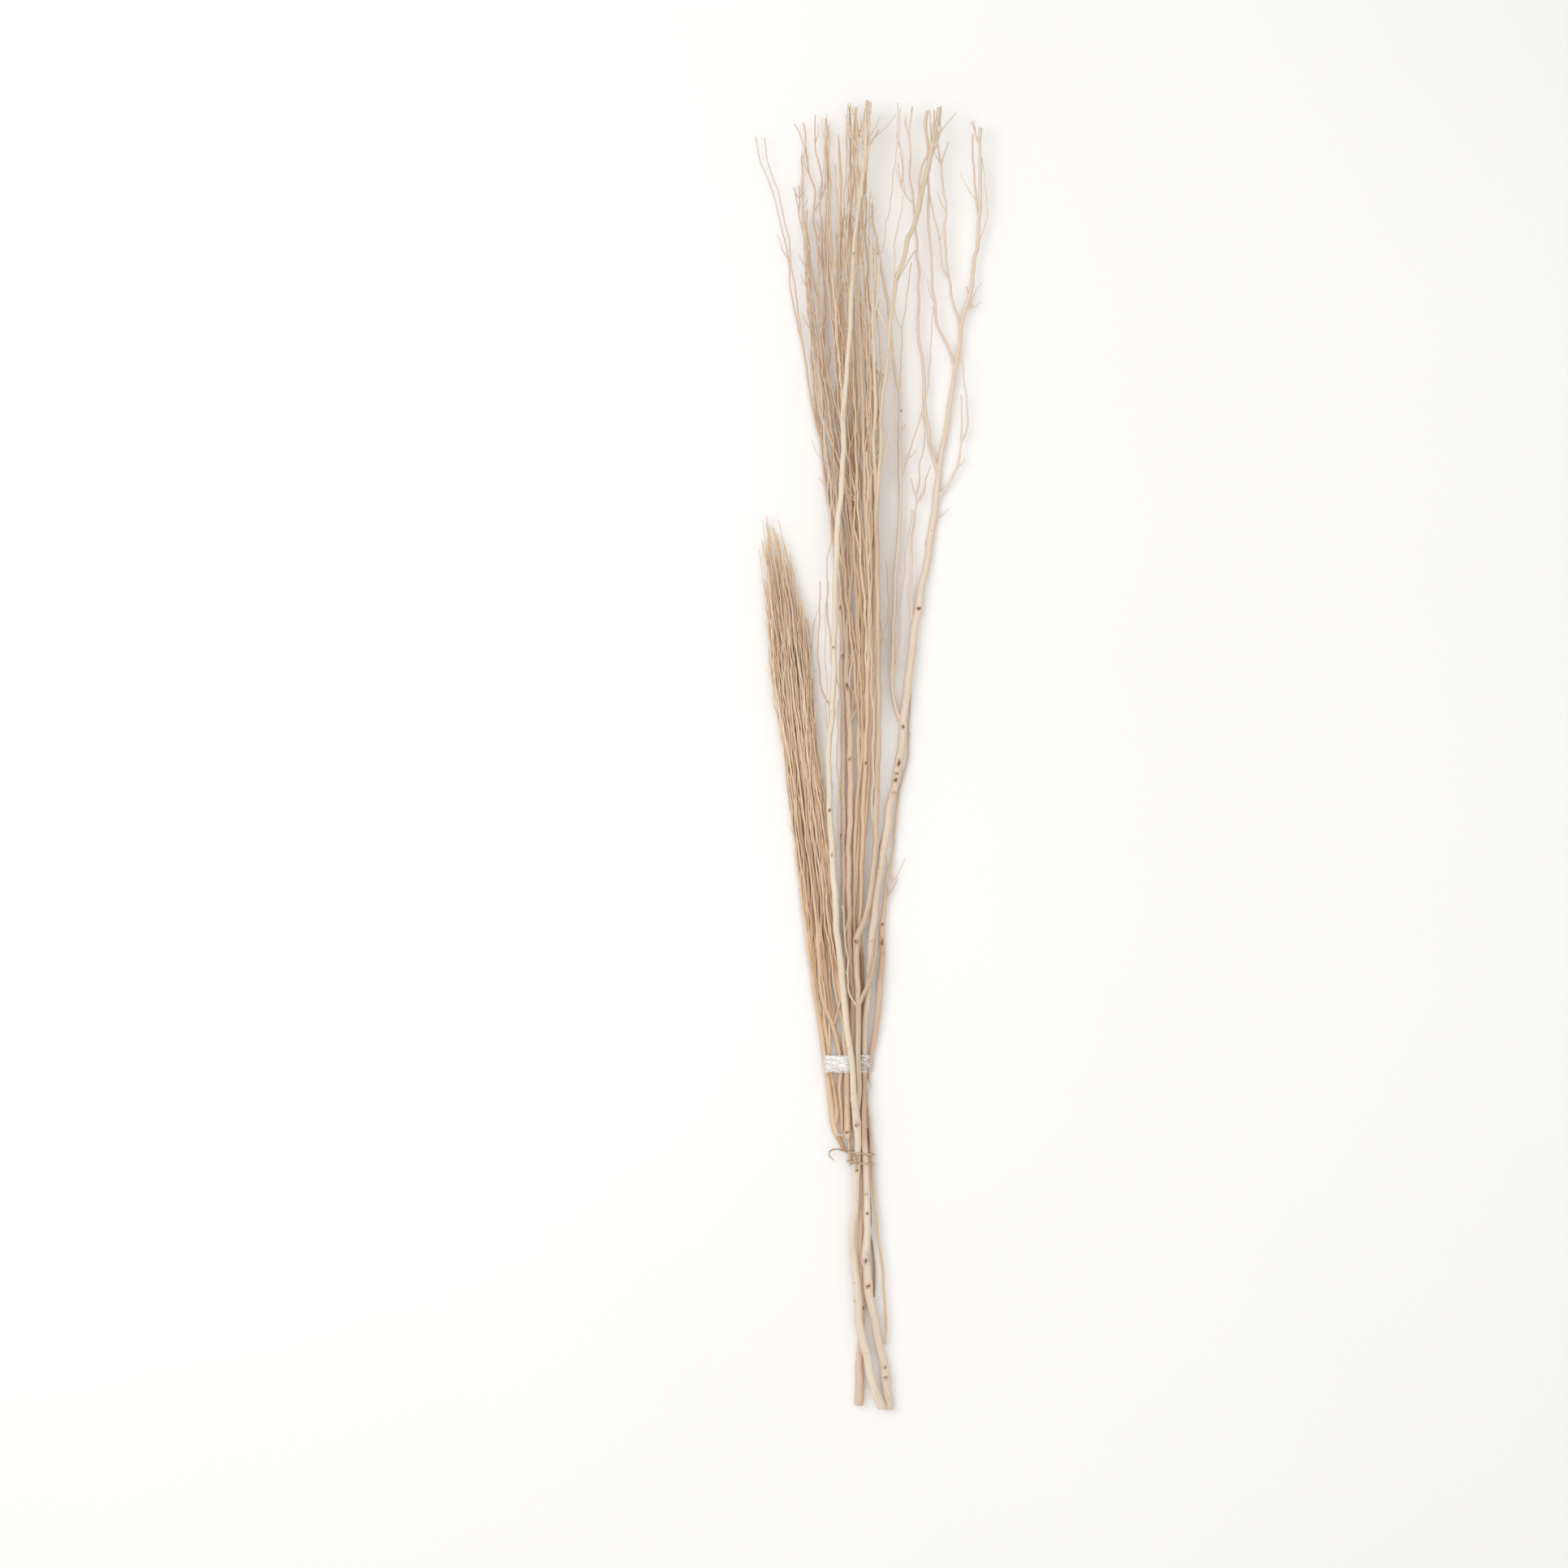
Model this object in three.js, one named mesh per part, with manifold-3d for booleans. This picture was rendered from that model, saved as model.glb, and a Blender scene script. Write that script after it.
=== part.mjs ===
// Dried pigeon pea bunch, lying down. Millimetres, +Y along the bunch from its butts to its tips, +Z up.
import * as THREE from "three";
import { mergeVertices } from "three/addons/utils/BufferGeometryUtils.js";
import Module from "manifold-3d";

const wasm = await Module();
wasm.setup();

// Routes are written as [across, along, radius]: across from a line 73 mm left of the middle,
// along from the cut butts. A point with no radius takes it from its neighbours.
const MIDDLE_ACROSS = 73.2;
const MIDDLE_ALONG = 806.8;
const GAP = 0.3;
const TAPE_FROM = 419;
const TAPE_WIDTH = 22;
const TAPE_THICKNESS = 0.8;
const TIE_UPPER = 320;
const TIE_LOWER = 308;
const STRIP_WIDTH = 3;
const STRIP_THICKNESS = 1.4;
const FINENESS = 0.1;

// Height of each branch's own layer above the ground, as [along, height].
const LAYERS = {
  front: [[0, 14.5], [140, 16.5], [310, 14.8], [360, 15.2], [415, 20], [440, 20.3], [589, 20], [742, 22],
    [880, 31],
    [1100, 47], [1400, 46], [1640, 44]],
  fork: [[350, 15], [412, 19.3], [440, 19.5], [589, 17.2], [742, 19], [830, 30], [950, 38], [1100, 39],
    [1640, 37]],
  knotty: [[0, 6.5], [140, 11.5], [190, 13.5], [310, 13.5], [350, 15], [380, 12.8], [412, 10.4],
    [430, 10], [589, 11],
    [742, 12], [880, 11], [1000, 8], [1100, 4.5], [1250, 7], [1400, 11], [1580, 20]],
  crown: [[850, 11], [1000, 12], [1250, 13], [1400, 14], [1600, 20]],
  left: [[0, 5.4], [140, 5.5], [310, 6.4], [350, 6.2], [385, 7.2], [430, 8.5], [589, 9], [742, 9.5],
    [850, 12], [1000, 15], [1640, 16]],
  fan: [[340, 4.3], [430, 4.2], [589, 5.5], [742, 6], [1100, 7], [1640, 8]],
  middle: [[380, 4], [430, 4.6], [589, 7], [742, 12], [850, 18.5], [1000, 23], [1640, 23]],
  thin: [[80, 8], [310, 9], [380, 6.5], [430, 3.9], [500, 4.5], [589, 7], [742, 15], [850, 25], [1000, 31],
    [1640, 30]],
  side: [[360, 4], [430, 5.5], [520, 8.5], [589, 7], [742, 5], [920, 2.5]],
  low: [[140, 5], [310, 5], [350, 4]],
  sheafLeft: [[320, 7], [430, 8.5], [589, 8], [742, 4.5], [850, 1.6], [960, 3.5], [1103, 8]],
  sheafMiddle: [[330, 6], [430, 5.4], [497, 11], [545, 12.4], [742, 12], [1100, 12]],
  sheafRight: [[300, 8], [340, 9], [430, 9], [497, 8], [589, 8], [742, 11], [1000, 12]],
};

// Left and right edge of the short sheaf and of the tall crown, as [along, left, right].
const SHEAF_EDGES = [[440, 12, 40], [462, 10, 38], [497, 5, 35], [531, 0, 33], [566, -7, 29], [589, -10, 27],
  [653, -15, 22], [704, -20, 18], [740, -25, 11], [780, -28, 8], [818, -32, 4], [869, -43, 0],
  [907, -48, -1],
  [952, -50, -6], [983, -53, -10], [1022, -59, -15], [1060, -63, -24], [1110, -68, -34]];
const SHEAF_DEPTH = [[440, 8, 3], [600, 9.5, 7], [800, 12, 9.5], [1000, 12, 9], [1110, 12, 8]];
const CROWN_EDGES = [[760, 38, 84], [840, 37, 86], [920, 37, 88], [1020, 31, 90], [1100, 18, 90],
  [1180, 12, 92],
  [1260, 2, 94], [1340, -4, 88], [1440, -10, 78], [1540, -8, 75], [1610, 0, 72]];

// Each branch: the strands that it is made of, in the order in which they grow out of each other.
const BRANCHES = [
  { name: "front_branch", colour: 0xdfd3c1, strands: [
    { layer: "front", path: [[86, 7, 5.5], [75, 40, 5.4], [69, 65, 5.2], [59, 110, 5], [56.5, 142, 4.8],
      [53.3, 180, 4.8], [49.5, 210, 4.6], [50, 226, 4.5], [54, 252, 4.3], [54.6, 284, 4.2], [56.5, 322, 4.2],
      [57, 335, 4.3], [55.3, 360, 5.2], [51.6, 395, 4], [50, 428, 3.7], [46, 455, 3.9], [42, 485, 4],
      [38, 531, 4], [34, 566, 4], [31, 595, 4], [27.4, 653, 4.1], [24, 704, 3.9], [22, 742, 3.5],
      [21, 790, 3.5], [21, 830, 3.6], [24.4, 856, 3.7], [27, 920, 3.4], [28.6, 1005, 3.3], [32, 1097, 3.3],
      [36, 1135, 3.2], [38.6, 1186, 3.1], [38.8, 1235, 3], [43.9, 1290, 2.8], [47.7, 1354, 2.7],
      [50, 1405, 2.6], [54, 1456, 2.5], [60.5, 1507, 2.4], [65.6, 1558, 2.2], [66.8, 1609, 1.8]] },
    { layer: "fork", path: [[55.3, 362, 2.8], [58.6, 395, 2.8], [57.8, 420, 3.1], [57, 442, 3.2],
      [57.3, 490, 3.4], [56, 531, 3.7], [55, 566, 3.9], [54.7, 582, 4.6], [58, 592, 4], [63, 602, 3.8],
      [67.6, 614, 3.7], [72.7, 646, 3.7], [76.5, 672, 3.9], [78.5, 704, 4.1], [79, 742, 4.1],
      [80.5, 800, 3.8], [81.5, 860, 3.5], [81.5, 920, 3.3], [81, 980, 3.1], [80, 1040, 2.9],
      [79, 1097, 2.8], [79, 1122, 2.8],
      [82, 1148, 2.6], [84.4, 1186, 2.5], [86, 1249, 2.4], [90.4, 1268, 2.4], [93, 1300, 2.3],
      [96.8, 1344, 2.3],
      [100.6, 1370, 2.3], [104.4, 1395, 2.4], [112, 1415, 2.7], [117, 1440, 3], [123.8, 1452, 3.1],
      [128.9, 1471, 3.1], [132.7, 1492, 3.2], [139, 1515, 3], [144, 1541, 2.8], [151.8, 1573, 2.6],
      [155.7, 1601, 2.9]] },
    { layer: "fork", lift: 1, path: [[79, 1122, 2.5], [77.5, 1148], [76, 1186], [78, 1249], [76.4, 1281],
      [75.7, 1312], [74.5, 1344], [75, 1376], [73.8, 1402], [72.6, 1440, 1.5]] },
    { layer: "fork", lift: 3, path: [[57.6, 500, 2.2], [62, 512, 2.6], [70, 530, 2.6], [76, 550, 2.3],
      [80, 575, 1.6], [81, 592, 1]] },
    { layer: "fork", lift: 4, path: [[77, 690, 1.6], [74.5, 742], [75.5, 800], [75, 860], [72.5, 920],
      [70, 990], [69.5, 1080], [67, 1180, 0.9]] },
    { layer: "fork", lift: 1, path: [[75.5, 1330, 0.9], [80, 1380], [84, 1418], [87.4, 1432], [90.6, 1462],
      [95.7, 1474], [99.5, 1522], [104, 1540], [105.3, 1607, 0.6]] },
    { layer: "fork", lift: -1, path: [[99, 1350, 0.8], [102, 1430], [107, 1465], [112, 1493, 0.6]] },
    { layer: "fork", path: [[94, 1322, 0.9], [82.8, 1351], [75, 1372, 0.8]] },
    { layer: "fork", lift: -2, path: [[103.5, 1385, 1], [112, 1404], [126, 1426, 0.8]] },
    { layer: "fork", lift: -1, path: [[84, 1146, 1.2], [89.5, 1167], [93.4, 1193], [98.5, 1218],
      [102.3, 1250, 0.8]] },
    { layer: "fork", lift: 2, path: [[78, 1148, 0.9], [71, 1167], [71, 1193], [66.6, 1231, 0.6]] },
    { layer: "fork", lift: -1, path: [[79, 925, 0.9], [86, 949], [94.2, 994], [92.3, 1022],
      [91, 1047, 0.6]] },
    { layer: "fork", lift: 1.5, path: [[144, 1541, 1.3], [146, 1570], [142.5, 1599, 0.9]] },
    { layer: "front", lift: -3, path: [[21.8, 866, 1.1], [13, 888], [9, 914], [8, 939], [9, 971],
      [10.6, 1022, 0.6]] },
    { layer: "front", lift: 2, path: [[23, 845, 1], [28.5, 856], [32, 875, 0.7]] },
    { layer: "front", lift: 3, path: [[39, 1235, 1.1], [34, 1275], [30, 1330], [27, 1400], [32, 1480],
      [33.5, 1566, 0.7]] },
    { layer: "front", lift: -1, path: [[54, 1456, 1.3], [56, 1500], [55, 1550], [54, 1601, 1]] },
    { layer: "front", lift: 3, path: [[60.5, 1507, 1.2], [67, 1540], [72.4, 1559], [78.8, 1568, 0.7]] },
    { layer: "front", lift: 2, path: [[65.6, 1558, 1.2], [70, 1580], [71.8, 1606, 0.8]] },
  ] },
  { name: "knotty_branch", colour: 0xd8c3ae, strands: [
    { layer: "knotty", path: [[95, 5, 6], [93, 30, 5.7], [91, 45, 6.2], [89.5, 56, 5.2], [84.5, 78, 5],
      [77, 116, 5], [69, 157, 5.7], [68, 180, 5], [66, 188, 5.5], [66.5, 196, 5], [68, 220, 4.6],
      [68, 258, 4.3],
      [67, 296, 4], [65.7, 319, 3.8], [64.6, 352, 3.5], [64.4, 384, 3.4], [64.8, 430, 3.5],
      [64.8, 457, 3.7], [66.2, 485, 4], [70, 525, 4.5], [72, 560, 4.6], [75, 595, 5],
      [78, 630, 5.4], [83, 665, 5.3],
      [88, 695, 5.3], [92, 716, 5.5], [95, 740, 5], [100, 765, 4.5], [105, 790, 4.6], [109, 812, 4.8],
      [112, 844, 4.5], [116, 882, 5], [121, 920, 5], [127, 971, 5], [131, 990, 5.5], [134, 1012, 4.6],
      [138, 1028, 4.2], [144, 1060, 4.2], [149.5, 1097, 4.7], [154, 1128, 4.2], [156.5, 1161, 3.2],
      [161, 1186, 3.2], [168.6, 1231, 3.1], [176, 1281, 2.9], [180, 1302, 2.8], [184, 1338, 2.8],
      [194, 1376, 2.7],
      [198, 1395, 2.6], [200, 1421, 2.6], [203.5, 1435, 2.6], [206.7, 1486, 2.2], [207.3, 1515, 2.1],
      [206, 1547, 2], [207.3, 1579, 2.4]] },
    { layer: "crown", path: [[109, 846, 2.8], [102.5, 869, 2.8], [99.3, 894, 2.7], [99.3, 920], [100, 952],
      [101.2, 984], [102.5, 1022], [105, 1060], [108, 1091, 2.5], [108.7, 1122], [108.7, 1161],
      [107.4, 1193],
      [108.7, 1218], [108, 1250, 2.3], [104, 1274], [99, 1312], [95.5, 1352, 1.9], [89, 1389], [84, 1421],
      [80, 1440], [75.3, 1467], [74.7, 1487, 1.2]] },
    { layer: "crown", lift: 2, path: [[99.5, 905, 1.6], [105.7, 926], [108.2, 952], [108.2, 984],
      [112.7, 1028],
      [114.6, 1055], [120, 1084], [123, 1110, 0.9]] },
    { layer: "crown", lift: 3, path: [[99.3, 898, 1], [95.6, 915], [95.6, 935], [96.4, 960, 0.7]] },
    { layer: "crown", lift: 3, path: [[108, 1205, 1], [112, 1210], [115, 1215, 0.9]] },
    { layer: "crown", lift: 2, path: [[108.7, 1150, 1], [117.6, 1173], [126.5, 1199], [130.4, 1214],
      [135.5, 1233, 0.7]] },
    { layer: "crown", lift: 0, path: [[108, 1250, 1], [109.5, 1290], [112, 1312], [110.8, 1332],
      [113.4, 1351],
      [118.5, 1383], [121, 1415, 0.6]] },
    { layer: "crown", lift: -2, path: [[126, 964, 1.8], [122.8, 985], [122.5, 1020], [123.3, 1078],
      [126.5, 1091],
      [126.5, 1110], [129, 1118], [128.4, 1129, 1.2]] },
    { layer: "crown", lift: 0, path: [[128.4, 1127, 0.9], [124.5, 1139], [122.7, 1149, 0.9]] },
    { layer: "crown", lift: -2, path: [[128.4, 1129, 1.1], [131.6, 1142], [132.9, 1167], [136.7, 1184],
      [138.6, 1216], [141, 1250], [146.5, 1306], [146.5, 1338], [149.7, 1361, 0.7]] },
    { layer: "crown", lift: 1, path: [[129, 1120, 0.9], [136.7, 1129], [140.6, 1148], [145.7, 1165, 0.6]] },
    { layer: "knotty", lift: 4, path: [[154, 1124, 2.1], [168.6, 1142], [177.6, 1162], [182.7, 1179],
      [185.2, 1195],
      [184, 1215], [184, 1252, 1]] },
    { layer: "knotty", lift: 5, path: [[185, 1193, 1.4], [189.7, 1206], [191.6, 1225], [190.3, 1250],
      [186, 1287], [184.8, 1306, 0.9]] },
    { layer: "crown", lift: -3, path: [[156, 1157, 2.4], [147, 1186], [141.8, 1218], [139, 1242],
      [138.2, 1264],
      [135.7, 1300], [131.2, 1325], [130.6, 1351], [132.5, 1370], [131.2, 1385], [132.5, 1402],
      [129.3, 1421],
      [130, 1440, 1.6], [126, 1470], [123.8, 1502], [120.6, 1524], [121.2, 1546], [120, 1569],
      [123.8, 1606, 0.9]] },
    { layer: "crown", lift: -1, path: [[120.5, 1562, 0.8], [117, 1580], [113.6, 1589, 0.7]] },
    { layer: "crown", lift: 1, path: [[124.8, 1486, 0.8], [114.8, 1498], [111, 1510], [104.5, 1536, 0.6]] },
    { layer: "crown", lift: 0, path: [[114.8, 1497, 0.7], [109, 1554], [108.5, 1603, 0.6]] },
    { layer: "knotty", lift: 3, path: [[176.5, 1284, 1.9], [170, 1305], [154.2, 1340], [151.6, 1363],
      [148.4, 1383], [148.4, 1402], [144.8, 1451], [142.9, 1477], [143.5, 1510, 1.7], [141.6, 1560],
      [139.7, 1585], [141.6, 1599, 2.3]] },
    { layer: "knotty", lift: 3, path: [[183.7, 1332, 2], [178.4, 1351], [172, 1374], [168.9, 1395],
      [167, 1415],
      [163.8, 1440], [164.6, 1477], [160.8, 1515], [157.6, 1534], [154, 1575, 1.2]] },
    { layer: "knotty", lift: 5, path: [[168.9, 1393, 1.4], [163, 1402], [159.3, 1418], [156.7, 1440],
      [149.3, 1477], [145, 1500, 0.9]] },
    { layer: "knotty", lift: 2, path: [[206, 1470, 1.4], [201.6, 1490], [199.7, 1515], [198.4, 1541],
      [196.2, 1571, 1.1]] },
    { layer: "knotty", lift: 3, path: [[205.8, 1558, 1.1], [201, 1571], [195.2, 1586, 1]] },
    { layer: "knotty", lift: -2, path: [[203.8, 1437, 1], [208.6, 1448], [214.3, 1466], [215, 1490],
      [213, 1515], [208.6, 1543, 0.7]] },
    { layer: "knotty", lift: 3, path: [[192.6, 1368, 0.9], [192, 1379], [190, 1385, 0.8]] },
    { layer: "knotty", lift: 2, path: [[188.8, 1353, 0.9], [193.7, 1358], [197.5, 1363, 0.8]] },
    { layer: "knotty", lift: 6, path: [[150, 1098, 1], [156.5, 1109, 0.8]] },
    { layer: "knotty", lift: 5, path: [[154.3, 1566, 0.8], [157.6, 1573], [172, 1590], [178, 1596, 0.6]] },
    { layer: "knotty", lift: 4, path: [[157.8, 1532, 0.8], [167, 1561, 0.6]] },
  ] },
  { name: "left_cut_branch", colour: 0xcdb393, seed: 11,
    crown: { count: 6, lanes: [0.05, 0.6], roots: [830, 1060] },
    strands: [
      { layer: "left", path: [[58.4, 10, 5.8], [59, 50, 5.2], [60, 78, 4.6], [62, 129, 4.4], [62, 160, 4.3],
        [60, 200, 4.2], [61, 240, 4], [61.6, 258, 4], [60.5, 279, 3.9], [60.5, 310, 3.9], [61.3, 330, 3.8],
        [62, 352, 3.8], [58.5, 384, 3.7], [56, 410, 3.6], [53.5, 430, 3.6], [51, 451, 3.5], [51, 490, 3.5],
        [50, 531, 3.5], [47, 570, 3.5], [46, 620, 3.4], [45.5, 690, 3.5], [47.5, 740, 3.9],
        [47.5, 805, 3.9], [46, 860, 3.7], [43, 895, 3.3], [42.5, 925, 2.8], [45, 980, 2.3],
        [50, 1040, 2.2], [52, 1140, 2], [55, 1240, 1.8],
        [52, 1340, 1.6], [48, 1440, 1.4], [48, 1540, 1.2], [47, 1605, 1.2]] },
      { layer: "left", lift: -2, path: [[47.5, 848, 1.7], [51, 857], [56, 869], [58.5, 890], [60, 940, 1]] },
      { layer: "left", lift: -2.2, path: [[45, 915, 1.6], [50, 934], [54.5, 952], [56, 975],
        [58, 1040, 0.9]] },
      { layer: "left", lift: -1, path: [[45, 905, 1.4], [50, 890], [54, 874], [55.5, 860, 0.9]] },
    ] },
  { name: "left_fan_branch", colour: 0xd0b594, seed: 12,
    crown: { count: 4, lanes: [0, 0.4], roots: [900, 1120] },
    strands: [
      { layer: "fan", path: [[50, 350, 2], [49, 390, 2], [48, 430, 2], [46.8, 485, 2.1], [42.5, 531, 2.3],
        [40.5, 589, 2.6], [39.5, 653, 3], [39, 742, 3.3], [39, 800, 3.4], [39, 860, 3.4], [37.5, 920, 3.3],
        [37.5, 968, 3.2], [35, 995, 2.3], [30, 1040, 2], [27, 1078, 1.9], [24.6, 1103, 1.8],
        [18, 1135, 1.7], [13.8, 1166, 1.6],
        [11.8, 1193, 1.5], [4.2, 1218, 1.5], [-1, 1250, 1.4], [-5, 1274, 1.3], [-10, 1306, 1.2],
        [-15.2, 1332, 1.1],
        [-21.5, 1357, 1], [-26, 1383, 0.9], [-27.3, 1408, 0.8], [-36.6, 1458, 0.7], [-51.3, 1511, 0.7],
        [-64.7, 1546, 0.6], [-69, 1570, 0.6]] },
      { layer: "fan", lift: 2, path: [[39, 960, 1.9], [41.5, 985], [41, 1010], [38, 1045], [37, 1100],
        [34, 1170, 1.1]] },
      { layer: "fan", lift: 3, path: [[-9, 1300, 0.9], [-14, 1338], [-19.6, 1370], [-24.7, 1415],
        [-31.5, 1460],
        [-38, 1485], [-47, 1519], [-56.4, 1554], [-58.3, 1568, 0.6]] },
      { layer: "fan", lift: 2, path: [[11.8, 1193, 1.4], [14, 1274], [13, 1306], [11.6, 1338], [6.5, 1370],
        [-2.4, 1423], [-9, 1445], [-16, 1477], [-23, 1508, 0.7]] },
      { layer: "fan", lift: -1, path: [[13.5, 1240, 1.3], [16.7, 1399], [11.6, 1418], [6.5, 1440], [3, 1478],
        [3.5, 1502], [-3, 1523], [-5, 1548], [-10.5, 1587, 0.8]] },
      { layer: "fan", lift: 1, path: [[25.5, 1095, 1.5], [31, 1174], [28.4, 1212], [31, 1250], [29, 1330],
        [24, 1400],
        [20, 1470], [17.6, 1540], [17.6, 1592, 0.9]] },
      { layer: "fan", lift: 0, path: [[-4, 1540, 0.7], [-12, 1568], [-21.3, 1586, 0.6]] },
      { layer: "fan", lift: 2, path: [[16, 1380, 1], [13, 1440], [10.6, 1495], [11, 1519], [4, 1561],
        [4, 1596, 0.7]] },
    ] },
  { name: "middle_branch", colour: 0xc9a985, seed: 13,
    crown: { count: 8, lanes: [0.05, 0.85], roots: [790, 1120] },
    strands: [
      { layer: "middle", path: [[63, 392, 1.8], [61.4, 408, 2.1], [60, 430, 2.4], [58.5, 470, 2.4],
        [56.5, 531, 2.4], [53, 589, 2.5], [53, 650, 2.3], [53.5, 700, 2.2], [55, 742, 2.2],
        [60, 790, 2.2], [63, 830, 2.2], [64, 880, 2.2], [62, 960, 2.1], [60, 1040, 2],
        [57, 1120, 1.9], [52, 1200, 1.8], [44, 1280, 1.6], [36, 1360, 1.4],
        [34, 1440, 1.2], [36, 1500, 1.1], [33.5, 1566, 1]] },
      { layer: "middle", lift: -2.8, path: [[53, 630, 2], [56.5, 680, 2.4], [58, 742, 2.9], [58, 813, 2.9],
        [58, 870, 2.6], [57, 930, 2.4], [55, 1000, 2.1], [52, 1080, 1.8], [50, 1180, 1.5],
        [47, 1280, 1.1]] },
    ] },
  { name: "thin_right_branch", colour: 0xc8a581, seed: 14,
    crown: { count: 8, lanes: [0.3, 1], roots: [780, 1120] },
    strands: [
      { layer: "thin", path: [[91, 85, 1.5], [91, 100, 1.7], [90, 140, 1.7], [87, 180, 1.7], [83, 210, 1.7],
        [80, 240, 1.7], [76.5, 270, 1.7], [74.8, 300, 1.7], [73, 330, 1.7], [70.8, 355, 1.7],
        [69, 372, 1.7], [67.4, 388, 1.7], [66.2, 404, 1.7], [65.6, 430, 1.8], [64.2, 470, 1.8],
        [62.5, 531, 2], [60, 589, 2.4], [61, 640, 2.8],
        [62.5, 690, 3.1], [63.5, 742, 3.2], [66, 800, 2.9], [68, 860, 2.6], [70, 940, 2.4], [70, 1020, 2.3],
        [66, 1100, 2.2], [64, 1180, 2], [62, 1260, 1.8], [58, 1340, 1.6], [56, 1420, 1.4], [54, 1480, 1.2],
        [54, 1601, 1]] },
      { layer: "thin", lift: -2.5, path: [[62.5, 690, 2.2], [67.5, 742, 2.6], [70.5, 800, 2.7],
        [71.5, 860, 2.6], [73.5, 930, 2.4], [76, 1010, 2.1], [77, 1100, 1.8], [76, 1200, 1.4],
        [73, 1300, 1]] },
    ] },
  { name: "right_side_branch", colour: 0xd2b898, strands: [
    { layer: "side", path: [[70, 410, 1.5], [70.8, 421, 2], [72.4, 433, 2.6], [75, 447, 3.2],
      [78, 465, 3.6], [80.8, 490, 3.8], [83.5, 520, 4], [86, 550, 3.7], [87, 590, 3],
      [90.5, 640, 2.1], [96, 672, 1.6],
      [99.4, 691, 1.5], [102.6, 716, 1.4], [104.5, 742, 1.4], [107, 761, 1.3], [112, 780, 1.3],
      [118, 805, 1.2],
      [121, 869, 1.1], [122.6, 920, 0.9]] },
    { layer: "side", lift: 1, path: [[89, 622, 1], [94, 636], [99, 654], [101, 680, 0.7]] },
  ] },
  { name: "thin_low_twig", colour: 0xc39a74, strands: [
    { layer: "low", path: [[77, 143, 1.2], [77.5, 170, 1.6], [75, 195, 1.3], [73, 220, 1.3], [71, 270, 1.3],
      [70, 310, 1.3], [69, 350, 1.2]] },
  ] },
  { name: "sheaf_left_spray", colour: 0xc79f78, sheaf: [-1, -0.42], strands: [
    { layer: "sheafLeft", path: [[40.5, 324, 2.7], [34.5, 336, 3.2], [29.5, 346, 3.6], [26.5, 356, 3.8],
      [23.8, 380, 3.7], [21, 402, 3.3], [18.5, 422, 3.1], [14.2, 450, 3.2], [11.5, 470, 3], [8, 492, 2.8],
      [4.5, 515, 2.8], [1, 540, 3], [-3, 565, 2.6], [-7, 595, 2.1],
      [-14, 650, 1.8], [-23, 730, 1.7], [-31, 810, 1.7], [-35, 850, 1.8], [-39, 900, 1.5], [-43, 960, 1.2],
      [-48, 1020, 1], [-55, 1103, 0.8]] },
    { layer: "sheafLeft", lift: -2, path: [[30, 352, 2.4], [31, 366, 3], [29.5, 384, 3], [26.5, 404, 2.7],
      [23, 424, 2.6], [20, 450, 2.5], [15.5, 472, 2.4], [10.5, 492, 2], [5, 515, 1.6]] },
  ] },
  { name: "sheaf_middle_spray", colour: 0xc49b73, sheaf: [-0.25, 0.25], strands: [
    { layer: "sheafMiddle", path: [[37.2, 347, 2.2], [37, 362, 2.3], [35.8, 380, 2.4], [34, 400, 3],
      [35.5, 420, 3.4], [35, 434, 3.3], [32.5, 450, 3.1], [29.5, 465, 3], [25, 480, 2.9], [19, 493, 2.6],
      [14, 505, 2.4], [11, 522, 2.3], [9, 548, 2.3], [7.5, 580, 2.2], [4, 630, 2.1], [0, 680, 2],
      [-5.5, 730, 1.8], [-10, 780, 1.7], [-17, 840, 1.5], [-23.5, 900, 1.3], [-28, 960, 1.1],
      [-36, 1020, 0.9],
      [-45, 1082, 0.8]] },
  ] },
  { name: "sheaf_right_spray", colour: 0xcba57e, sheaf: [0.42, 1], strands: [
    { layer: "sheafRight", path: [[44, 338, 4.2], [44, 384, 4.1], [44, 410, 4], [43, 440, 3.9],
      [41, 455, 3.7],
      [40, 485, 3.4], [36, 510, 3], [30, 540, 2.7], [23.5, 580, 2.5], [18.5, 630, 2.3], [14, 680, 2.1],
      [8, 730, 1.9], [3, 780, 1.7], [-3, 840, 1.5], [-7, 900, 1.2], [-10, 960, 1], [-12, 1000, 0.8]] },
    { layer: "sheafRight", lift: 1, path: [[44, 345, 1], [46, 326], [47.5, 304, 0.9]] },
    { layer: "sheafRight", lift: -1.5, path: [[45, 350, 1], [48, 330], [49.3, 306, 0.9]] },
    { layer: "sheafRight", lift: -3, path: [[43, 350, 1], [45.5, 326], [46, 310, 0.9]] },
  ] },
];

// Where the crown's strands end, from left to right: most of them gather in four loose clusters.
const CROWN_TIPS = [[-18, 1586], [-11, 1556], [-7, 1470], [3, 1566], [8, 1440], [15, 1582], [17, 1592],
  [20, 1586], [31, 1530], [36, 1480], [45, 1598], [49, 1604], [53, 1592], [55, 1560], [62, 1536],
  [66, 1600], [69, 1606], [72, 1603], [71, 1491], [74, 1488], [78, 1440]];
const GATHER_LENGTH = 280;
const CROWN_STEP = 80;
const CROWN_ROOT_RADIUS = [1.1, 1.9];
const CROWN_LIFT = 2.3;
const SHEAF_TWIGS = 40;
const SHEAF_ROOTS = [455, 640];
const SHEAF_TIPS = [950, 1100];
const SHEAF_STEP = 104;
const SHEAF_ROOT_RADIUS = [0.95, 1.25];
const TIP_RADIUS = 0.6;
const DIVERGE_LENGTH = 150;
const GOLDEN_ANGLE = 2.399963;
const SPUR_LENGTH = [14, 46];
const SPUR_SPREAD = [0.25, 0.6];
const SPURS_PER_CROWN_STRAND = 1;

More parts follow.
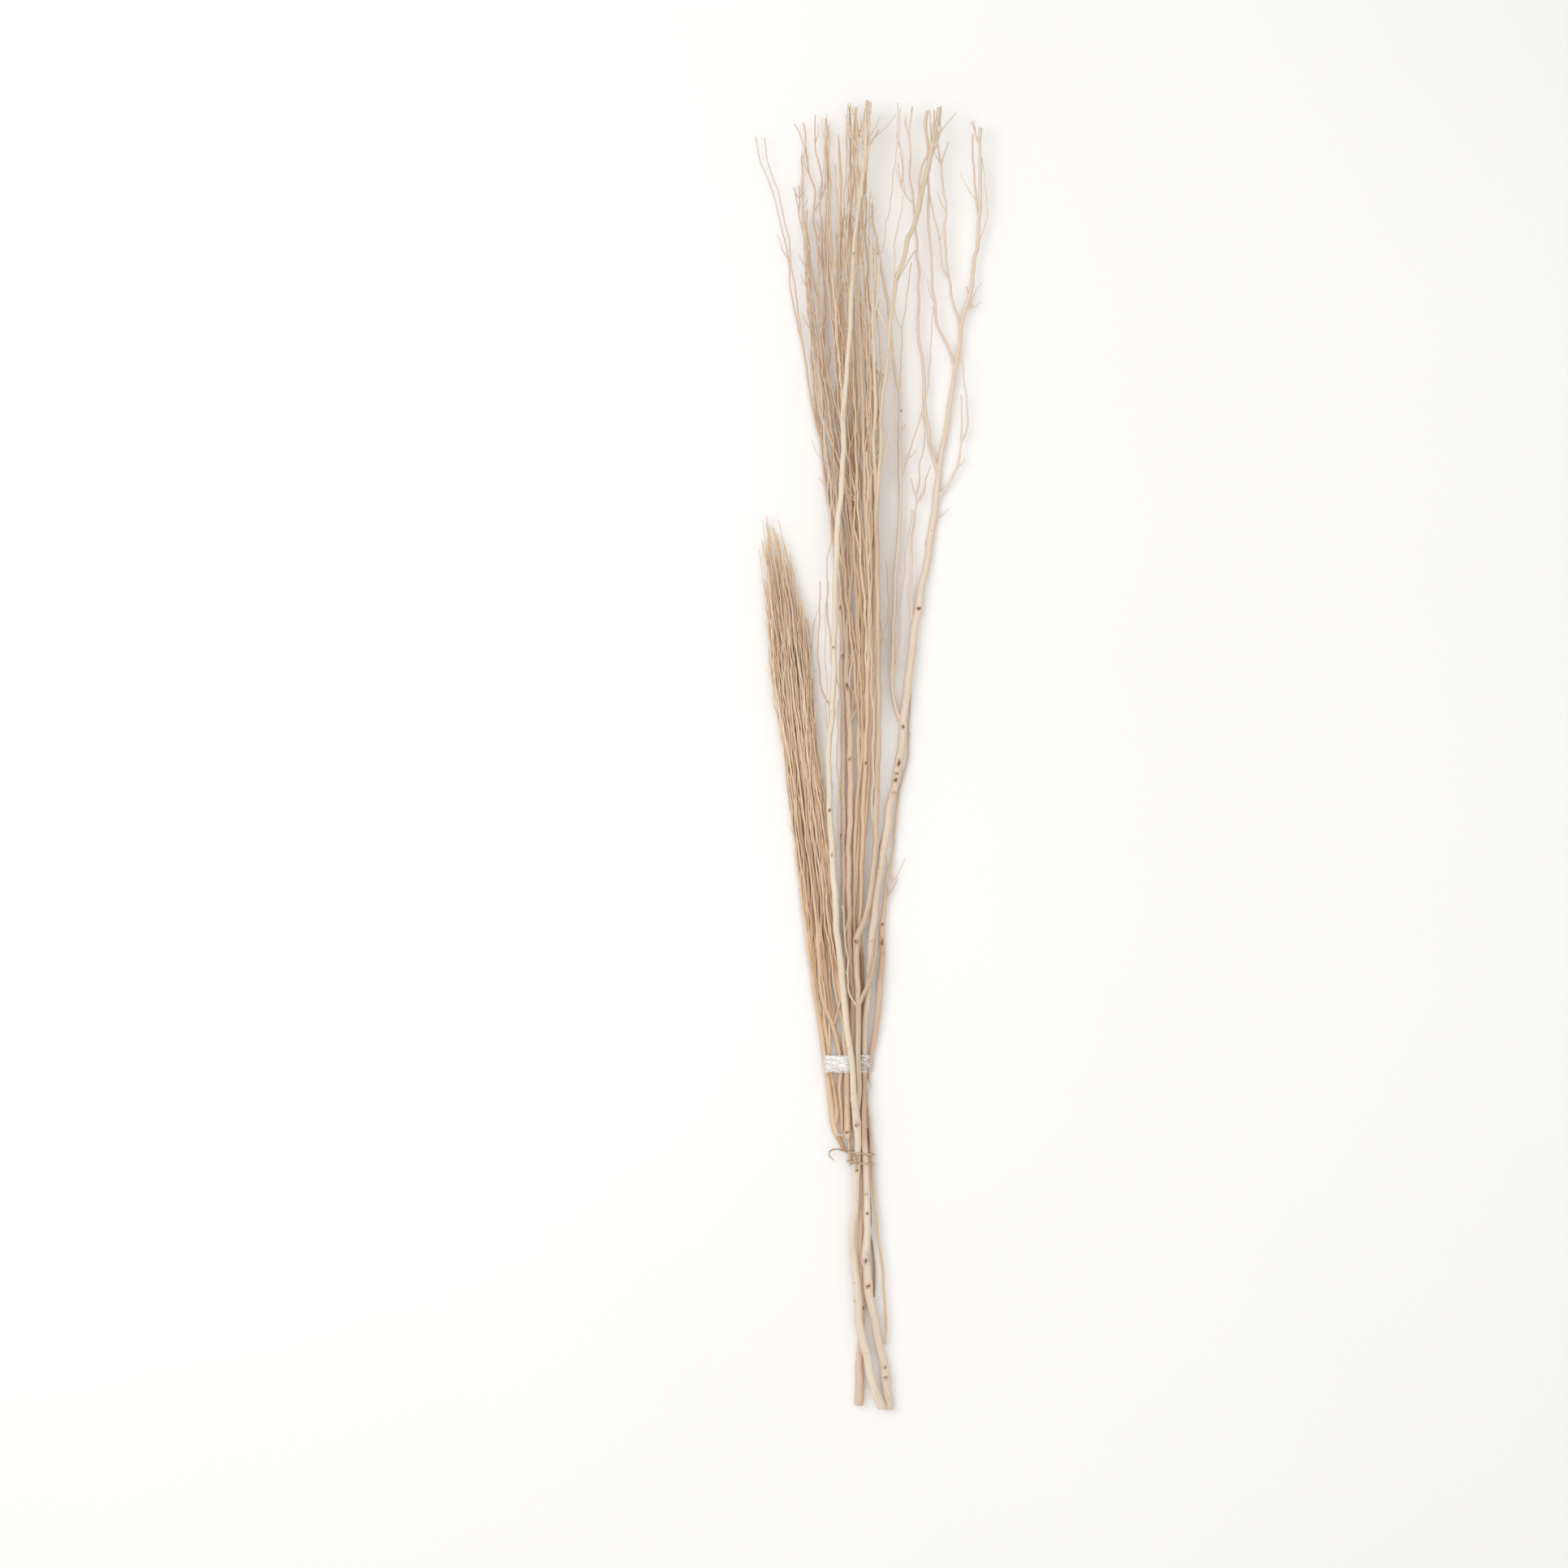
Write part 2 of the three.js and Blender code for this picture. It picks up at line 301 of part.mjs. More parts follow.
// A seeded stream of numbers from 0 to 1.
function stream(seed) {
  let state = seed | 0;
  return () => {
    state = (state + 0x6d2b79f5) | 0;
    let mixed = Math.imul(state ^ (state >>> 15), 1 | state);
    mixed = (mixed + Math.imul(mixed ^ (mixed >>> 7), 61 | mixed)) ^ mixed;
    return ((mixed ^ (mixed >>> 14)) >>> 0) / 4294967296;
  };
}

const between = ([low, high], share) => low + (high - low) * share;
const smooth = (share) => share * share * (3 - 2 * share);
const clamp01 = (value) => Math.min(1, Math.max(0, value));

// The value in one column of a table whose first column is the distance along the bunch.
function readTable(table, along, column) {
  let index = 0;
  while (index < table.length - 2 && table[index + 1][0] < along) {
    index += 1;
  }
  const [low, high] = [table[index], table[index + 1]];
  const share = clamp01((along - low[0]) / (high[0] - low[0]));
  return low[column] + (high[column] - low[column]) * smooth(share);
}

// A strand's points get their missing radii, and their heights from its layer, its root and its lift.
function settleStrand(strand, grown) {
  const known = strand.path.map((point, index) => [index, point[2]])
    .filter(([, radius]) => radius !== undefined);
  const root = grown.length ? nearestPoint(grown, strand.path[0]) : null;
  const points = strand.path.map(([across, along], index) => {
    const radius = readTable(known, index, 1);
    const layer = readTable(LAYERS[strand.layer], along, 1);
    const share = smooth(clamp01(index / Math.min(2, strand.path.length - 1)));
    const lift = root ? (root.height - readTable(LAYERS[strand.layer], root.along, 1)) * (1 - share) : 0;
    const raise = (strand.lift ?? 0) * share;
    return { across, along, height: layer + lift + raise, radius };
  });
  if (root) {
    points[0] = { ...root, radius: Math.min(points[0].radius, root.radius * 0.85) };
  }
  return points;
}

// The point on the strands grown so far that lies nearest to a place seen from above.
function nearestPoint(grown, [across, along]) {
  let best = null;
  let bestDistance = Infinity;
  for (const points of grown) {
    for (let index = 0; index < points.length - 1; index += 1) {
      const [start, end] = [points[index], points[index + 1]];
      const run = [end.across - start.across, end.along - start.along];
      const reach = (across - start.across) * run[0] + (along - start.along) * run[1];
      const share = clamp01(reach / (run[0] ** 2 + run[1] ** 2));
      const place = [start.across + run[0] * share, start.along + run[1] * share];
      const distance = Math.hypot(place[0] - across, place[1] - along);
      if (distance < bestDistance) {
        bestDistance = distance;
        best = {
          across: place[0],
          along: place[1],
          height: start.height + (end.height - start.height) * share,
          radius: start.radius + (end.radius - start.radius) * share,
        };
      }
    }
  }
  return best;
}

// The long strands that fill a tall crown: each leaves the branch's stem and drifts into a lane of its own.
function crownStrands(branch, stem) {
  const { count, lanes, roots } = branch.crown;
  const layer = branch.strands[0].layer;
  return Array.from({ length: count }, (_, index) => {
    const draw = stream(branch.seed * 1000 + index);
    const lane = between(lanes, (index + 0.5 + 0.7 * (draw() - 0.5)) / count);
    const start = between(roots, draw());
    const pick = clamp01(lane + 0.12 * (draw() - 0.5)) * CROWN_TIPS.length;
    const tip = CROWN_TIPS[Math.min(CROWN_TIPS.length - 1, Math.floor(pick))];
    const end = tip[1];
    const rootRadius = between(CROWN_ROOT_RADIUS, draw());
    const lift = CROWN_LIFT * ((index % 3) - 1 + 0.3 * (draw() - 0.5));
    const root = nearestPoint([stem], [readTable(CROWN_EDGES, start, 1), start]);
    const steps = Math.max(3, Math.round((end - start) / CROWN_STEP));
    const path = [[root.across, root.along, rootRadius]];
    for (let step = 1; step <= steps; step += 1) {
      const along = start + (end - start) * (step + 0.3 * (draw() - 0.5)) / steps;
      const laneAcross = between([readTable(CROWN_EDGES, along, 1), readTable(CROWN_EDGES, along, 2)], lane);
      const share = smooth(clamp01((along - start) / DIVERGE_LENGTH));
      const gather = smooth(clamp01(1 - (end - along) / GATHER_LENGTH));
      const meander = 3.2 * (draw() - 0.5);
      const spread = root.across + (laneAcross - root.across) * share;
      const across = spread + (tip[0] - spread) * gather + meander;
      path.push(step === steps ? [across, along, TIP_RADIUS] : [across, along]);
    }
    return { layer, lift, path };
  });
}

// Short spurs on crown strands, at their natural angle, in the same layer as the strand they grow on.
function spurStrands(branch, grown) {
  const draw = stream(branch.seed * 1000 + 500);
  const count = Math.round(branch.crown.count * SPURS_PER_CROWN_STRAND);
  const layer = branch.strands[0].layer;
  return Array.from({ length: count }, () => {
    const points = grown[1 + Math.floor(draw() * (grown.length - 1))];
    const index = Math.min(points.length - 2, Math.floor((0.35 + 0.6 * draw()) * (points.length - 1)));
    const [start, end] = [points[index], points[index + 1]];
    const heading = Math.atan2(end.across - start.across, end.along - start.along);
    const side = draw() < 0.5 ? -1 : 1;
    const turn = heading + side * between(SPUR_SPREAD, draw());
    const length = between(SPUR_LENGTH, draw());
    const half = length / 2;
    const middle = [start.across + half * Math.sin(turn), start.along + half * Math.cos(turn)];
    const bent = turn - side * 0.25;
    const tip = [middle[0] + half * Math.sin(bent), middle[1] + half * Math.cos(bent)];
    return { layer, lift: 0, path: [[start.across, start.along, 0.75], middle, [...tip, 0.6]] };
  });
}

// The fine twigs of the short sheaf: lanes spread evenly over its oval section, shared out to three sprays.
function sheafTwigs(branch, stem) {
  const [from, to] = branch.sheaf;
  const twigs = [];
  for (let index = 0; index < SHEAF_TWIGS; index += 1) {
    const spread = Math.sqrt((index + 0.5) / SHEAF_TWIGS);
    const side = spread * Math.cos(index * GOLDEN_ANGLE);
    const rise = spread * Math.sin(index * GOLDEN_ANGLE);
    if (side < from - 0.085 || side > to + 0.085) {
      continue;
    }
    const lane = Math.min(to, Math.max(from, side));
    const draw = stream(7000 + index);
    const start = between(SHEAF_ROOTS, draw() * draw());
    const end = between(SHEAF_TIPS, draw());
    const rootRadius = between(SHEAF_ROOT_RADIUS, draw());
    const root = nearestPoint([stem], [readTable(SHEAF_EDGES, start, 1) + 20, start]);
    const steps = Math.round((end - start) / SHEAF_STEP);
    const points = [{ ...root, radius: rootRadius }];
    for (let step = 1; step <= steps; step += 1) {
      const along = root.along + (end - root.along) * step / steps;
      const left = readTable(SHEAF_EDGES, along, 1);
      const right = readTable(SHEAF_EDGES, along, 2);
      const laneAcross = (left + right) / 2 + lane * (right - left) / 2;
      const laneHeight = readTable(SHEAF_DEPTH, along, 1) + rise * readTable(SHEAF_DEPTH, along, 2);
      const share = smooth(clamp01((along - root.along) / DIVERGE_LENGTH));
      points.push({
        across: root.across + (laneAcross - root.across) * share + 0.8 * (draw() - 0.5),
        along,
        height: root.height + (laneHeight - root.height) * share,
        radius: rootRadius + (TIP_RADIUS - rootRadius) * step / steps,
      });
    }
    twigs.push(points);
  }
  return twigs;
}

const toVector = ({ across, along, height }) =>
  new THREE.Vector3(across - MIDDLE_ACROSS, along - MIDDLE_ALONG, height);

// A closed mesh becomes a solid once its shared vertices are merged.
function toSolid(geometry) {
  geometry.deleteAttribute("normal");
  geometry.deleteAttribute("uv");
  const merged = mergeVertices(geometry, 1e-4);
  const vertProperties = new Float32Array(merged.attributes.position.array);
  const triVerts = new Uint32Array(merged.index.array);
  return new wasm.Manifold(new wasm.Mesh({ numProp: 3, vertProperties, triVerts }));
}

// The largest body of a solid, with the pockets that its crossing strands sealed off filled.
function wholeBody(solid) {
  const bodies = solid.decompose();
  return bodies.reduce((largest, body) => (body.volume() > largest.volume() ? body : largest));
}

function toGeometry(solid) {
  const mesh = solid.getMesh();
  const geometry = new THREE.BufferGeometry();
  geometry.setAttribute("position", new THREE.BufferAttribute(new Float32Array(mesh.vertProperties), 3));
  geometry.setIndex(new THREE.BufferAttribute(new Uint32Array(mesh.triVerts), 1));
  return geometry;
}

// Two directions across a route at one of its points, the first nearest to a given reference.
function sectionAxes(route, index, reference, closed) {
  const last = route.length - 1;
  const before = route[closed ? (index + last) % route.length : Math.max(0, index - 1)];
  const after = route[closed ? (index + 1) % route.length : Math.min(last, index + 1)];
  const tangent = after.clone().sub(before).normalize();
  const up = reference.clone().addScaledVector(tangent, -reference.dot(tangent)).normalize();
  return { up, side: up.clone().cross(tangent) };
}

const UP = new THREE.Vector3(0, 0, 1);
const ALONG = new THREE.Vector3(0, 1, 0);

// Thin strands have few sides, and are drawn a little fuller so that they look as thick as round ones.
function sectionFor(points) {
  const thickest = Math.max(...points.map(({ radius }) => radius));
  if (thickest > 1.9) {
    return { sides: thickest > 3 ? 6 : 5, fullness: 1 };
  }
  return thickest > 1.35 ? { sides: 4, fullness: 1.08 } : { sides: 3, fullness: 1.2 };
}

// A tapered tube with closed ends: a cylinder whose rings are moved onto the route.
function taperedTube(points) {
  const route = points.map(toVector);
  const { sides, fullness } = sectionFor(points);
  const rings = route.length - 1;
  const geometry = new THREE.CylinderGeometry(1, 1, 1, sides, rings);
  const position = geometry.attributes.position;
  for (let vertex = 0; vertex < position.count; vertex += 1) {
    const ring = Math.round((0.5 - position.getY(vertex)) * rings);
    const { up, side } = sectionAxes(route, ring, UP, false);
    const radius = points[ring].radius * fullness;
    const moved = route[ring].clone()
      .addScaledVector(side, position.getX(vertex) * radius)
      .addScaledVector(up, position.getZ(vertex) * radius);
    position.setXYZ(vertex, moved.x, moved.y, moved.z);
  }
  return toSolid(geometry);
}

// A flat strip with an oval section along an open or closed route, its width lying along the bunch.
function stripSolid(route, closed) {
  const sides = 6;
  const rings = closed ? route.length : route.length - 1;
  const geometry = closed
    ? new THREE.TorusGeometry(2, 1, sides, rings)
    : new THREE.CylinderGeometry(1, 1, 1, sides, rings);
  const position = geometry.attributes.position;
  for (let vertex = 0; vertex < position.count; vertex += 1) {
    const [x, y, z] = [position.getX(vertex), position.getY(vertex), position.getZ(vertex)];
    const turn = Math.atan2(y, x);
    const ring = closed
      ? (Math.round(turn / (2 * Math.PI) * rings) + rings) % rings
      : Math.round((0.5 - y) * rings);
    const { up, side } = sectionAxes(route, ring, ALONG, closed);
    const outward = closed ? 2 - Math.hypot(x, y) : x;
    const moved = route[ring].clone()
      .addScaledVector(side, outward * STRIP_THICKNESS / 2)
      .addScaledVector(up, z * STRIP_WIDTH / 2);
    position.setXYZ(vertex, moved.x, moved.y, moved.z);
  }
  return toSolid(geometry);
}

// The outline round a set of [across, height] places, counter-clockwise, with no hollow in it.
function hullOutline(places) {
  const sorted = [...places].sort((first, second) => first[0] - second[0] || first[1] - second[1]);
  const turnsRight = (a, b, c) => (b[0] - a[0]) * (c[1] - a[1]) - (b[1] - a[1]) * (c[0] - a[0]) <= 0;
  const half = (list) => {
    const chain = [];
    for (const place of list) {
      while (chain.length > 1 && turnsRight(chain.at(-2), chain.at(-1), place)) {
        chain.pop();
      }
      chain.push(place);
    }
    return chain.slice(0, -1);
  };
  return [...half(sorted), ...half(sorted.reverse())];
}

// What a band round the stems has to clear between two distances along the bunch.
function bandOutline(strands, from, to, clearance) {
  const places = [];
  for (const strand of strands) {
    const points = strand[0].along < strand.at(-1).along ? strand : [...strand].reverse();
    for (let along = from; along <= to; along += (to - from) / 4) {
      const index = points.findIndex((point, place) => place > 0 && point.along >= along);
      if (index < 1 || points[0].along > along) {
        continue;
      }
      const [start, end] = [points[index - 1], points[index]];
      const share = (along - start.along) / (end.along - start.along);
      const across = start.across + (end.across - start.across) * share;
      const height = start.height + (end.height - start.height) * share;
      const radius = start.radius + (end.radius - start.radius) * share;
      const reach = radius * sectionFor(points).fullness + clearance;
      for (let step = 0; step < 12; step += 1) {
        const angle = (step / 12) * 2 * Math.PI;
        places.push([across + reach * Math.cos(angle), height + reach * Math.sin(angle)]);
      }
    }
  }
  return hullOutline(places);
}

// Places spread evenly round a closed outline.
function evenOutline(outline, count) {
  const lengths = outline.map((place, index) => {
    const next = outline[(index + 1) % outline.length];
    return Math.hypot(next[0] - place[0], next[1] - place[1]);
  });
  const total = lengths.reduce((sum, length) => sum + length, 0);
  return Array.from({ length: count }, (_, step) => {
    let rest = (step / count) * total;
    let index = 0;
    while (rest > lengths[index]) {
      rest -= lengths[index];
      index += 1;
    }
    const [start, end] = [outline[index], outline[(index + 1) % outline.length]];
    const share = rest / lengths[index];
    return [start[0] + (end[0] - start[0]) * share, start[1] + (end[1] - start[1]) * share];
  });
}

const group = new THREE.Group();
const grownBranches = {};

function addPiece(name, solid, colour, roughness) {
  const material = new THREE.MeshStandardMaterial({ color: colour, roughness, metalness: 0 });
  const mesh = new THREE.Mesh(toGeometry(solid), material);
  mesh.name = name;
  group.add(mesh);
}

// Branches, with everything that grows on each of them fused to it, and trimmed flat at the ground.
function growBranch(branch) {
  const grown = [];
  for (const strand of branch.strands) {
    grown.push(settleStrand(strand, grown));
  }
  if (branch.crown) {
    for (const strand of crownStrands(branch, grown[0])) {
      grown.push(settleStrand(strand, [grown[0]]));
    }
    for (const strand of spurStrands(branch, grown)) {
      grown.push(settleStrand(strand, grown));
    }
  }
  if (branch.sheaf) {
    grown.push(...sheafTwigs(branch, grown[0]));
  }
  return grown;
}

const ground = toSolid(new THREE.BoxGeometry(600, 2000, 20).translate(0, 0, -10));
for (const branch of BRANCHES) {
  const grown = growBranch(branch);
  grownBranches[branch.name] = grown;
  const whole = wasm.Manifold.union(grown.map(taperedTube)).subtract(ground).simplify(FINENESS);
  addPiece(branch.name, wholeBody(whole), branch.colour, 0.75);
}

// Clear tape band round the stems that begin above the tie.
const TAPED = ["sheaf_left_spray", "sheaf_middle_spray", "sheaf_right_spray", "left_fan_branch",
  "left_cut_branch",
  "middle_branch", "thin_right_branch", "knotty_branch", "right_side_branch"];
const tapedStems = TAPED.map((name) => grownBranches[name][0]);
const tapeInner = bandOutline(tapedStems, TAPE_FROM, TAPE_FROM + TAPE_WIDTH, GAP);
const tapeOuter = bandOutline(tapedStems, TAPE_FROM, TAPE_FROM + TAPE_WIDTH, GAP + TAPE_THICKNESS);
const tapeShape = new THREE.Shape(tapeOuter.map(([across, height]) => new THREE.Vector2(across, height)));
tapeShape.holes.push(new THREE.Path(tapeInner.map(([across, height]) => new THREE.Vector2(across, height))));
const tapeGeometry = new THREE.ExtrudeGeometry(tapeShape, { depth: TAPE_WIDTH, bevelEnabled: false })
  .rotateX(Math.PI / 2)
  .translate(-MIDDLE_ACROSS, TAPE_FROM + TAPE_WIDTH - MIDDLE_ALONG, 0);
addPiece("tape_band", toSolid(tapeGeometry), 0xe9e6df, 0.2);

// Tie: two turns of twisted bark fibre, crossed and knotted on top, with a curled tail.
const tiedStems = [grownBranches.front_branch[0], grownBranches.knotty_branch[0],
  grownBranches.left_cut_branch[0], grownBranches.thin_right_branch[0], grownBranches.thin_low_twig[0],
  ...grownBranches.sheaf_right_spray.slice(1, 4)];
const tieReach = 1.5 * GAP + STRIP_THICKNESS / 2;
const tieOutline = evenOutline(bandOutline(tiedStems, TIE_LOWER - 5, TIE_UPPER + 4, tieReach), 26);
const tiePlace = (across, along, height) => toVector({ across, along, height });
const tieTurn = (along, slope) => tieOutline.map(([across, height]) =>
  tiePlace(across, along + slope * (across - MIDDLE_ACROSS + 10), height));
const tieTop = Math.max(...tieOutline.map(([, height]) => height));
const tieSolids = [
  stripSolid(tieTurn(TIE_UPPER, -0.13), true),
  stripSolid(tieTurn(TIE_LOWER, -0.1), true),
  stripSolid([[50, 322, -3], [53, 317, 0.9], [57, 311, 1.1], [60, 307, -1]].map(([across, along, rise]) =>
    tiePlace(across, along, tieTop + rise)), false),
  stripSolid([[49, 309, -3.2], [52.5, 311, 1.3], [56, 316, 2.1],
    [60, 321, -1.2]].map(([across, along, rise]) =>
    tiePlace(across, along, tieTop + rise)), false),
  stripSolid([[55, 312, 1.5], [54.4, 307, 2], [54, 302, 1.2]].map(([across, along, rise]) =>
    tiePlace(across, along, tieTop + rise)), false),
];
const [tailAcross, tailHeight] = tieOutline.reduce((left, place) => (place[0] < left[0] ? place : left));
tieSolids.push(stripSolid([[tailAcross, 321.5, tailHeight], [41.5, 323, tailHeight + 5], [36, 324.5, 15],
  [30, 325.5, 14.5], [24.5, 324, 13.5], [21.5, 320.5, 12.5], [22.5, 316, 12], [27, 311.5, 12]].map(
  ([across, along, height]) => tiePlace(across, along, height)), false));
addPiece("bark_tie", wholeBody(wasm.Manifold.union(tieSolids).simplify(FINENESS / 2)), 0xbfa67e, 0.8);

// Small pale wisp of twisted fibre lying over the cut ends of the sheaf.
const WISP = [[27.5, 340, 11, 0.7], [29.5, 341.5, 11.5, 1], [32, 343, 11.7, 1.2], [34.5, 342.5, 11.5, 1.2],
  [37, 341.5, 11.1, 1.1], [38.8, 342.5, 10.8, 0.9]];
const wispPoints = WISP.map(([across, along, height, radius]) => ({ across, along, height, radius }));
addPiece("pale_wisp", taperedTube(wispPoints), 0xeee4d2, 0.8);

export default group;
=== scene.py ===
"""Dried pigeon pea bunch, lying down: peeled branches, a short fine sheaf, clear tape and a bark tie."""
import math

import bpy
import numpy as np
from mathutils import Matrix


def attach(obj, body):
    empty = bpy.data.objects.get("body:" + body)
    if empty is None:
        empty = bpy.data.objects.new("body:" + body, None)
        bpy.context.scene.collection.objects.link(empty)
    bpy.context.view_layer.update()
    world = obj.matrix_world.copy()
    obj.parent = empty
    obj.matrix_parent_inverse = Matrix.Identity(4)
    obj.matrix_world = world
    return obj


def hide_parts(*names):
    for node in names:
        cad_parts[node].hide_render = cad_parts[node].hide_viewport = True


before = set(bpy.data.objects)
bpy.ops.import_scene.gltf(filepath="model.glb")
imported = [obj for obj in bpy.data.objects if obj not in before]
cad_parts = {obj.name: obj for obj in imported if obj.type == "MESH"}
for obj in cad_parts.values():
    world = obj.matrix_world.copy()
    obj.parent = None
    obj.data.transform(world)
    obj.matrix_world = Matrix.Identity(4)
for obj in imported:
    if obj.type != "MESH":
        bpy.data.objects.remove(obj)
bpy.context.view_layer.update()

# Routes are written as [across, along, radius] in millimetres: across from a line 73 mm left of the
# middle, along from the cut butts. A point with no radius takes it from its neighbours.
MM = 0.001
MIDDLE_ACROSS = 73.2
MIDDLE_ALONG = 806.8
GAP = 0.3
TAPE_FROM = 419
TAPE_WIDTH = 22
TIE_UPPER = 320
TIE_LOWER = 308
STRIP_WIDTH = 3
STRIP_THICKNESS = 1.4

# How high the strands of each layer lie above the floor, as [along, height].
LAYERS = {
    "front": [[0, 14.5], [140, 16.5], [310, 14.8], [360, 15.2], [415, 20], [440, 20.3], [589, 20],
        [742, 22], [880, 31], [1100, 47], [1400, 46], [1640, 44]],
    "fork": [[350, 15], [412, 19.3], [440, 19.5], [589, 17.2], [742, 19], [830, 30], [950, 38],
        [1100, 39], [1640, 37]],
    "knotty": [[0, 6.5], [140, 11.5], [190, 13.5], [310, 13.5], [350, 15], [380, 12.8], [412, 10.4],
        [430, 10], [589, 11], [742, 12], [880, 11], [1000, 8], [1100, 4.5], [1250, 7], [1400, 11],
        [1580, 20]],
    "crown": [[850, 11], [1000, 12], [1250, 13], [1400, 14], [1600, 20]],
    "left": [[0, 5.4], [140, 5.5], [310, 6.4], [350, 6.2], [385, 7.2], [430, 8.5], [589, 9], [742, 9.5],
        [850, 12], [1000, 15], [1640, 16]],
    "fan": [[340, 4.3], [430, 4.2], [589, 5.5], [742, 6], [1100, 7], [1640, 8]],
    "middle": [[380, 4], [430, 4.6], [589, 7], [742, 12], [850, 18.5], [1000, 23], [1640, 23]],
    "thin": [[80, 8], [310, 9], [380, 6.5], [430, 3.9], [500, 4.5], [589, 7], [742, 15], [850, 25],
        [1000, 31], [1640, 30]],
    "side": [[360, 4], [430, 5.5], [520, 8.5], [589, 7], [742, 5], [920, 2.5]],
    "low": [[140, 5], [310, 5], [350, 4]],
    "sheafLeft": [[320, 7], [430, 8.5], [589, 8], [742, 4.5], [850, 1.6], [960, 3.5], [1103, 8]],
    "sheafMiddle": [[330, 6], [430, 5.4], [497, 11], [545, 12.4], [742, 12], [1100, 12]],
    "sheafRight": [[300, 8], [340, 9], [430, 9], [497, 8], [589, 8], [742, 11], [1000, 12]],
}

# Left and right edge of the short sheaf and of the tall crown, as [along, left, right], and how
# thick the sheaf is, as [along, height of its middle, half its thickness].
SHEAF_EDGES = [[440, 12, 40], [462, 10, 38], [497, 5, 35], [531, 0, 33], [566, -7, 29], [589, -10, 27],
    [653, -15, 22], [704, -20, 18], [740, -25, 11], [780, -28, 8], [818, -32, 4], [869, -43, 0],
    [907, -48, -1], [952, -50, -6], [983, -53, -10], [1022, -59, -15], [1060, -63, -24], [1110, -68, -34]]
SHEAF_DEPTH = [[440, 8, 3], [600, 9.5, 7], [800, 12, 9.5], [1000, 12, 9], [1110, 12, 8]]
CROWN_EDGES = [[760, 38, 84], [840, 37, 86], [920, 37, 88], [1020, 31, 90], [1100, 18, 90],
    [1180, 12, 92], [1260, 2, 94], [1340, -4, 88], [1440, -10, 78], [1540, -8, 75], [1610, 0, 72]]

